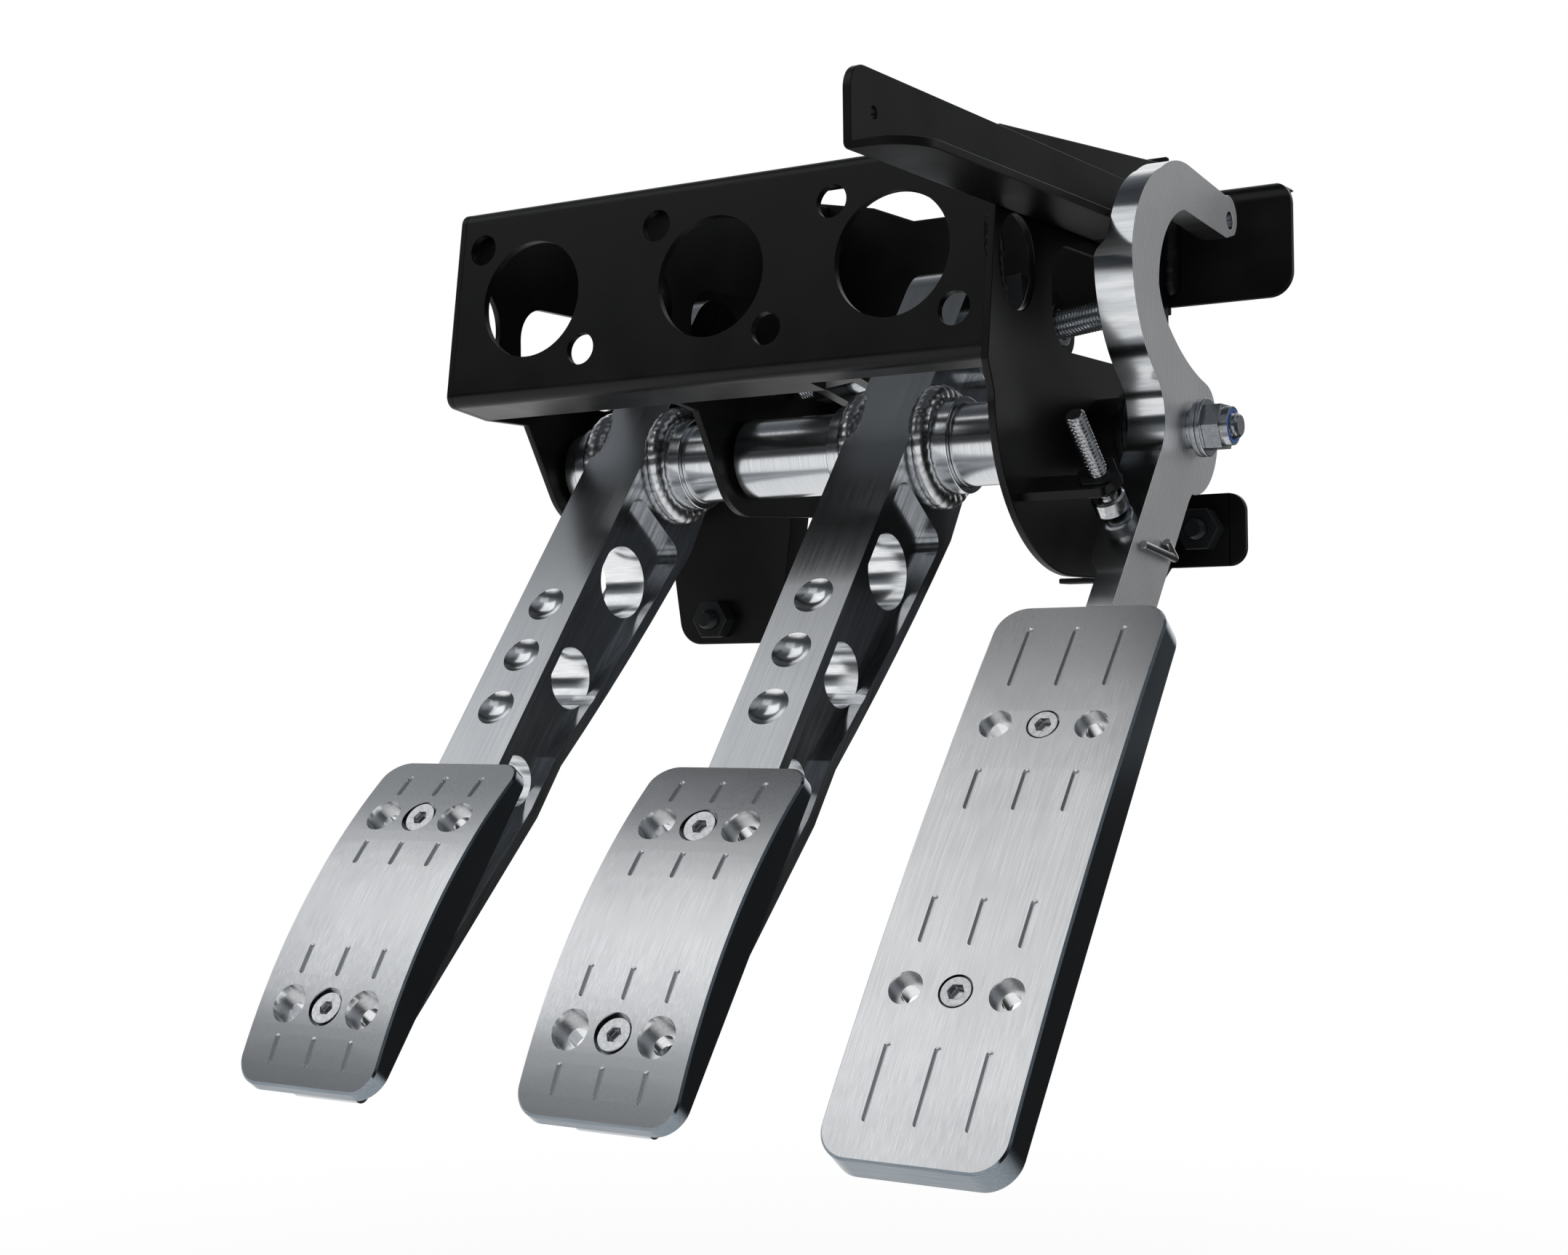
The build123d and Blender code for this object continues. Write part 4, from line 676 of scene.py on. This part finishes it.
def frame_beads():
    """The painted welds: up the channel's corner with the right wall, and up the lug's corner behind it."""
    up_the_plate = np.array([0, -sin(PLATE_TILT), cos(PLATE_TILT)])
    corner_foot = np.array([96.9, 0.4, 0]) - 29.5 * up_the_plate
    corner = straight_bead(corner_foot, up_the_plate, length=37.8, out=(-1, -1, 0), width=5.4, drop=3.0)
    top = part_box("frame_welds")[1][2] / MM
    lug_foot = (101.2, 118.8, top - 28.0)
    lug = straight_bead(lug_foot, (0, 0, 1), length=27.0, out=(1, -1, 0), width=7.0, drop=4.0)
    place_piece(skin("frame_weld_beads", [corner, lug]), "frame_welds", "black_powder_coat")


# Pedals

class PEDALBOX_OT_pedals(bpy.types.Operator):
    """Clutch and brake arms with their hubs, welds, pads and screws"""
    bl_idname = "pedalbox.pedals"
    bl_label = "Clutch and brake pedals"

    def execute(self, context):
        edge = context.scene.pedal_box_finishes.milled_edge / MM
        for pedal in ("clutch", "brake"):
            x = JOINT[f"{pedal}_pivot"][0]
            dress_arm(softened(f"{pedal}_arm", "milled_arm", edge), x)
            softened(f"{pedal}_hub", "turned_hub", edge)
            softened(f"{pedal}_bushes", "sintered_bronze", edge / 2)
            beads = [ring_bead(x + side, radius=16.6, width=7.0, drop=3.6) for side in (-13.0, 13.0)]
            place_piece(skin(f"{pedal}_hub_beads", beads), f"{pedal}_hub_welds", "weld_bead")
            pad = softened(f"{pedal}_pad", "brushed_pad", edge / 2)
            dress_pad(pad, x, LEAN, PAD_ROWS, PAD_HOLE_RADIUS)
            softened(f"{pedal}_pad_screws", "stainless_steel", edge / 2)
        return {"FINISHED"}


def dress_arm(arm, x):
    """Streaky pockets on the sides of an arm, and walls with a lighter tint, painted light, in its web holes
    and its front's dimples.
    """
    face_finish(arm, "milled_web", lambda at, n: np.abs(n[:, 0]) > 0.7)
    sideways = np.array([1.0, 0.0, 0.0])
    # Down the arm, each web hole is smaller and lies nearer to the driver
    holes = [(down_the_arm(x, 49.7 + 42.8 * i, LEAN) - (2.7 - 3.1 * i) * PAD_NORMAL, 12.0 - 2.0 * i)
             for i in range(3)]
    # Web hole walls get the lighter recess tint: painted light against their shade
    face_finish(arm, "bored_bright", lambda at, n: (np.abs(n[:, 0]) < 0.5) & np.any(
        [from_axis(at, hole, sideways) < radius + 0.3 for hole, radius in holes], axis=0))
    dimple_reach, dimples_top, dimples_foot = 6.4, -85, -170
    # The front's dimples get the same lighter tint, painted light
    face_finish(arm, "bored_bright", lambda at, n: (n @ PAD_NORMAL > 0.5) & (n @ PAD_NORMAL < 0.997)
                & (np.abs(at[:, 0] - x) < dimple_reach)
                & (at[:, 2] < dimples_top) & (at[:, 2] > dimples_foot))


def dress_pad(pad, x, lean, rows, radius):
    """Cut edges tinted dark as painted shade round a brushed pad, and walls lightened with painted light in
    its grooves and its two rows of holes.
    """
    normal, up = facing(lean)
    holes = [down_the_arm(x + side, row, lean) for side in (-HOLE_COLUMN, 0, HOLE_COLUMN) for row in rows]
    rim, side_x = 5.0, 21.0
    # Side faces first take the lighter recess tint, painted light that lifts grooves and hole walls from
    # their shade
    face_finish(pad, "bored_bright", lambda at, n: np.abs(n @ normal) < 0.8)
    # The pad's outer edges then take a dark blue-grey tint: painted shade for the dim side of the room
    face_finish(pad, "cut_edge", lambda at, n: (np.abs(n @ normal) < 0.8) & (
        (np.abs(at[:, 0] - x) > side_x) | near_ends(at @ up, rim)))
    # Hole walls take the lighter tint too: painted light
    face_finish(pad, "bored_bright", lambda at, n: (np.abs(n @ normal) < 0.95) & np.any(
        [from_axis(at, hole, normal) < radius + 0.25 for hole in holes], axis=0))


class PEDALBOX_OT_throttle(bpy.types.Operator):
    """Throttle arm with its cable hook, pad, screws, bush and spring wire"""
    bl_idname = "pedalbox.throttle"
    bl_label = "Throttle pedal"

    def execute(self, context):
        edge = context.scene.pedal_box_finishes.milled_edge / MM
        arm = softened("throttle_arm", "profiled_throttle", edge)
        face_finish(arm, "faced_throttle", lambda at, n: np.abs(n[:, 0]) > 0.85)
        softened("throttle_bush", "zinc_plate", edge / 2)
        pad = softened("throttle_pad", "brushed_pad", edge / 2)
        dress_pad(pad, THROTTLE_PAD_X, THROTTLE_LEAN, THROTTLE_ROWS, THROTTLE_HOLE_RADIUS)
        softened("throttle_pad_screws", "stainless_steel", edge / 2)
        softened("throttle_spring_clip", "stainless_steel", edge / 2)
        return {"FINISHED"}


# Fasteners and balance bar

def stop_screw():
    """The throttle's stop screw: a plain round head that meets the arm, and its thread."""
    tip, way = np.array([120.9, 26.15, -76.22]), np.array([0, -0.712, 0.7022])
    head_radius, head_height = 5.0, 6.0
    head = turned(tip, way, [(0, head_radius - 1.4), (0.5, head_radius - 0.4), (1.0, head_radius),
                             (head_height - 0.6, head_radius), (head_height, head_radius - 0.6)])
    # The real pitch is 1.0 mm; it is drawn a little coarser so that it shows
    screw = threaded(tip + (head_height - 0.1) * way, way, length=30.1, diameter=6.0, pitch=1.3)
    place_piece(skin("stop_screw", [head, screw]), "stop_bolt", "stainless_steel")


def through_bolt():
    """The long bolt that carries the pedals: hexagon head on the left, thread at the throttle."""
    head_x = -103.6
    profile = [(0, 7.6), (4.4, 7.6), (5.0, 7.0), (5.3, 6.2)]
    head = turned((head_x, *PIVOT_YZ), (-1, 0, 0), profile, flats=13.0)
    shank = threaded((head_x - 0.1, *PIVOT_YZ), (1, 0, 0), length=248.25, diameter=8.0, pitch=1.25,
                     plain=226.0)
    place_piece(skin("pivot_through_bolt", [head, shank]), "pivot_bolt", "zinc_plate")


def balance_bar():
    """The bar across the head of the brake arm, threaded from end to end."""
    middle, tilt, length = np.array([31.9, 93.85, -15.29]), radians(7), 117.0
    way = np.array([cos(tilt), 0, sin(tilt)])
    bar = threaded(middle - length / 2 * way, way, length, diameter=9.5, pitch=1.06)
    place_piece(skin("threaded_balance_bar", [bar]), "balance_bar", "zinc_plate")


def bulkhead_studs():
    """Two studs, each with a thin neck in the wall and a thicker end behind the wall's back face."""
    back_face, neck = 122.5, 12.5
    studs = []
    for side in ("left", "right"):
        x, _, z = MOUNT[f"bulkhead_stud_{side}"]
        studs.append(threaded((x, back_face - neck, z), (0, 1, 0), neck, diameter=7.0, pitch=1.0))
        studs.append(threaded((x, back_face, z), (0, 1, 0), length=16.0, diameter=8.0, pitch=1.25))
    place_piece(skin("bulkhead_stud_threads", studs), "bulkhead_studs", "black_oxide_steel")


class PEDALBOX_OT_fasteners(bpy.types.Operator):
    """Through bolt, stop screw, studs, balance bar and their nuts"""
    bl_idname = "pedalbox.fasteners"
    bl_label = "Fasteners and balance bar"

    def execute(self, context):
        edge = 0.3
        for node in ("pivot_washers", "pivot_nut", "balance_tube", "balance_bearing", "front_brake_barrel",
                     "rear_brake_barrel"):
            softened(node, "zinc_plate", edge)
        for node in ("stop_nut", "bulkhead_nuts", "front_brake_clevis", "rear_brake_clevis", "bar_nut"):
            softened(node, "black_oxide_steel", edge)
        softened("throttle_spacer", "turned_hub", edge)
        softened("nut_insert", "moulded_nylon", 0.2)
        stop_screw()
        through_bolt()
        balance_bar()
        bulkhead_studs()
        return {"FINISHED"}


# Add-on

class PEDALBOX_PT_panel(bpy.types.Panel):
    """Lists the steps that dress the pedal box"""
    bl_label = "Pedal Box"
    bl_idname = "PEDALBOX_PT_panel"
    bl_space_type = "VIEW_3D"
    bl_region_type = "UI"
    bl_category = "Pedal Box"

    def draw(self, context):
        for operator in OPERATORS:
            self.layout.operator(operator.bl_idname)
        for group in (context.scene.pedal_box_finishes, context.scene.pedal_box_studio):
            for key in group.bl_rna.properties.keys():
                if key not in ("rna_type", "name"):
                    self.layout.prop(group, key)


OPERATORS = (PEDALBOX_OT_stage, PEDALBOX_OT_sheet_metal, PEDALBOX_OT_pedals, PEDALBOX_OT_throttle,
             PEDALBOX_OT_fasteners)
CLASSES = (PEDALBOX_PG_finishes, PEDALBOX_PG_studio, *OPERATORS, PEDALBOX_PT_panel)


def register():
    for cls in CLASSES:
        bpy.utils.register_class(cls)
    bpy.types.Scene.pedal_box_finishes = bpy.props.PointerProperty(type=PEDALBOX_PG_finishes)
    bpy.types.Scene.pedal_box_studio = bpy.props.PointerProperty(type=PEDALBOX_PG_studio)


def unregister():
    del bpy.types.Scene.pedal_box_studio
    del bpy.types.Scene.pedal_box_finishes
    for cls in reversed(CLASSES):
        bpy.utils.unregister_class(cls)


def main():
    """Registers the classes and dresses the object."""
    register()
    bpy.ops.pedalbox.stage()
    bpy.ops.pedalbox.sheet_metal()
    bpy.ops.pedalbox.pedals()
    bpy.ops.pedalbox.throttle()
    bpy.ops.pedalbox.fasteners()


if __name__ == "__main__":
    main()
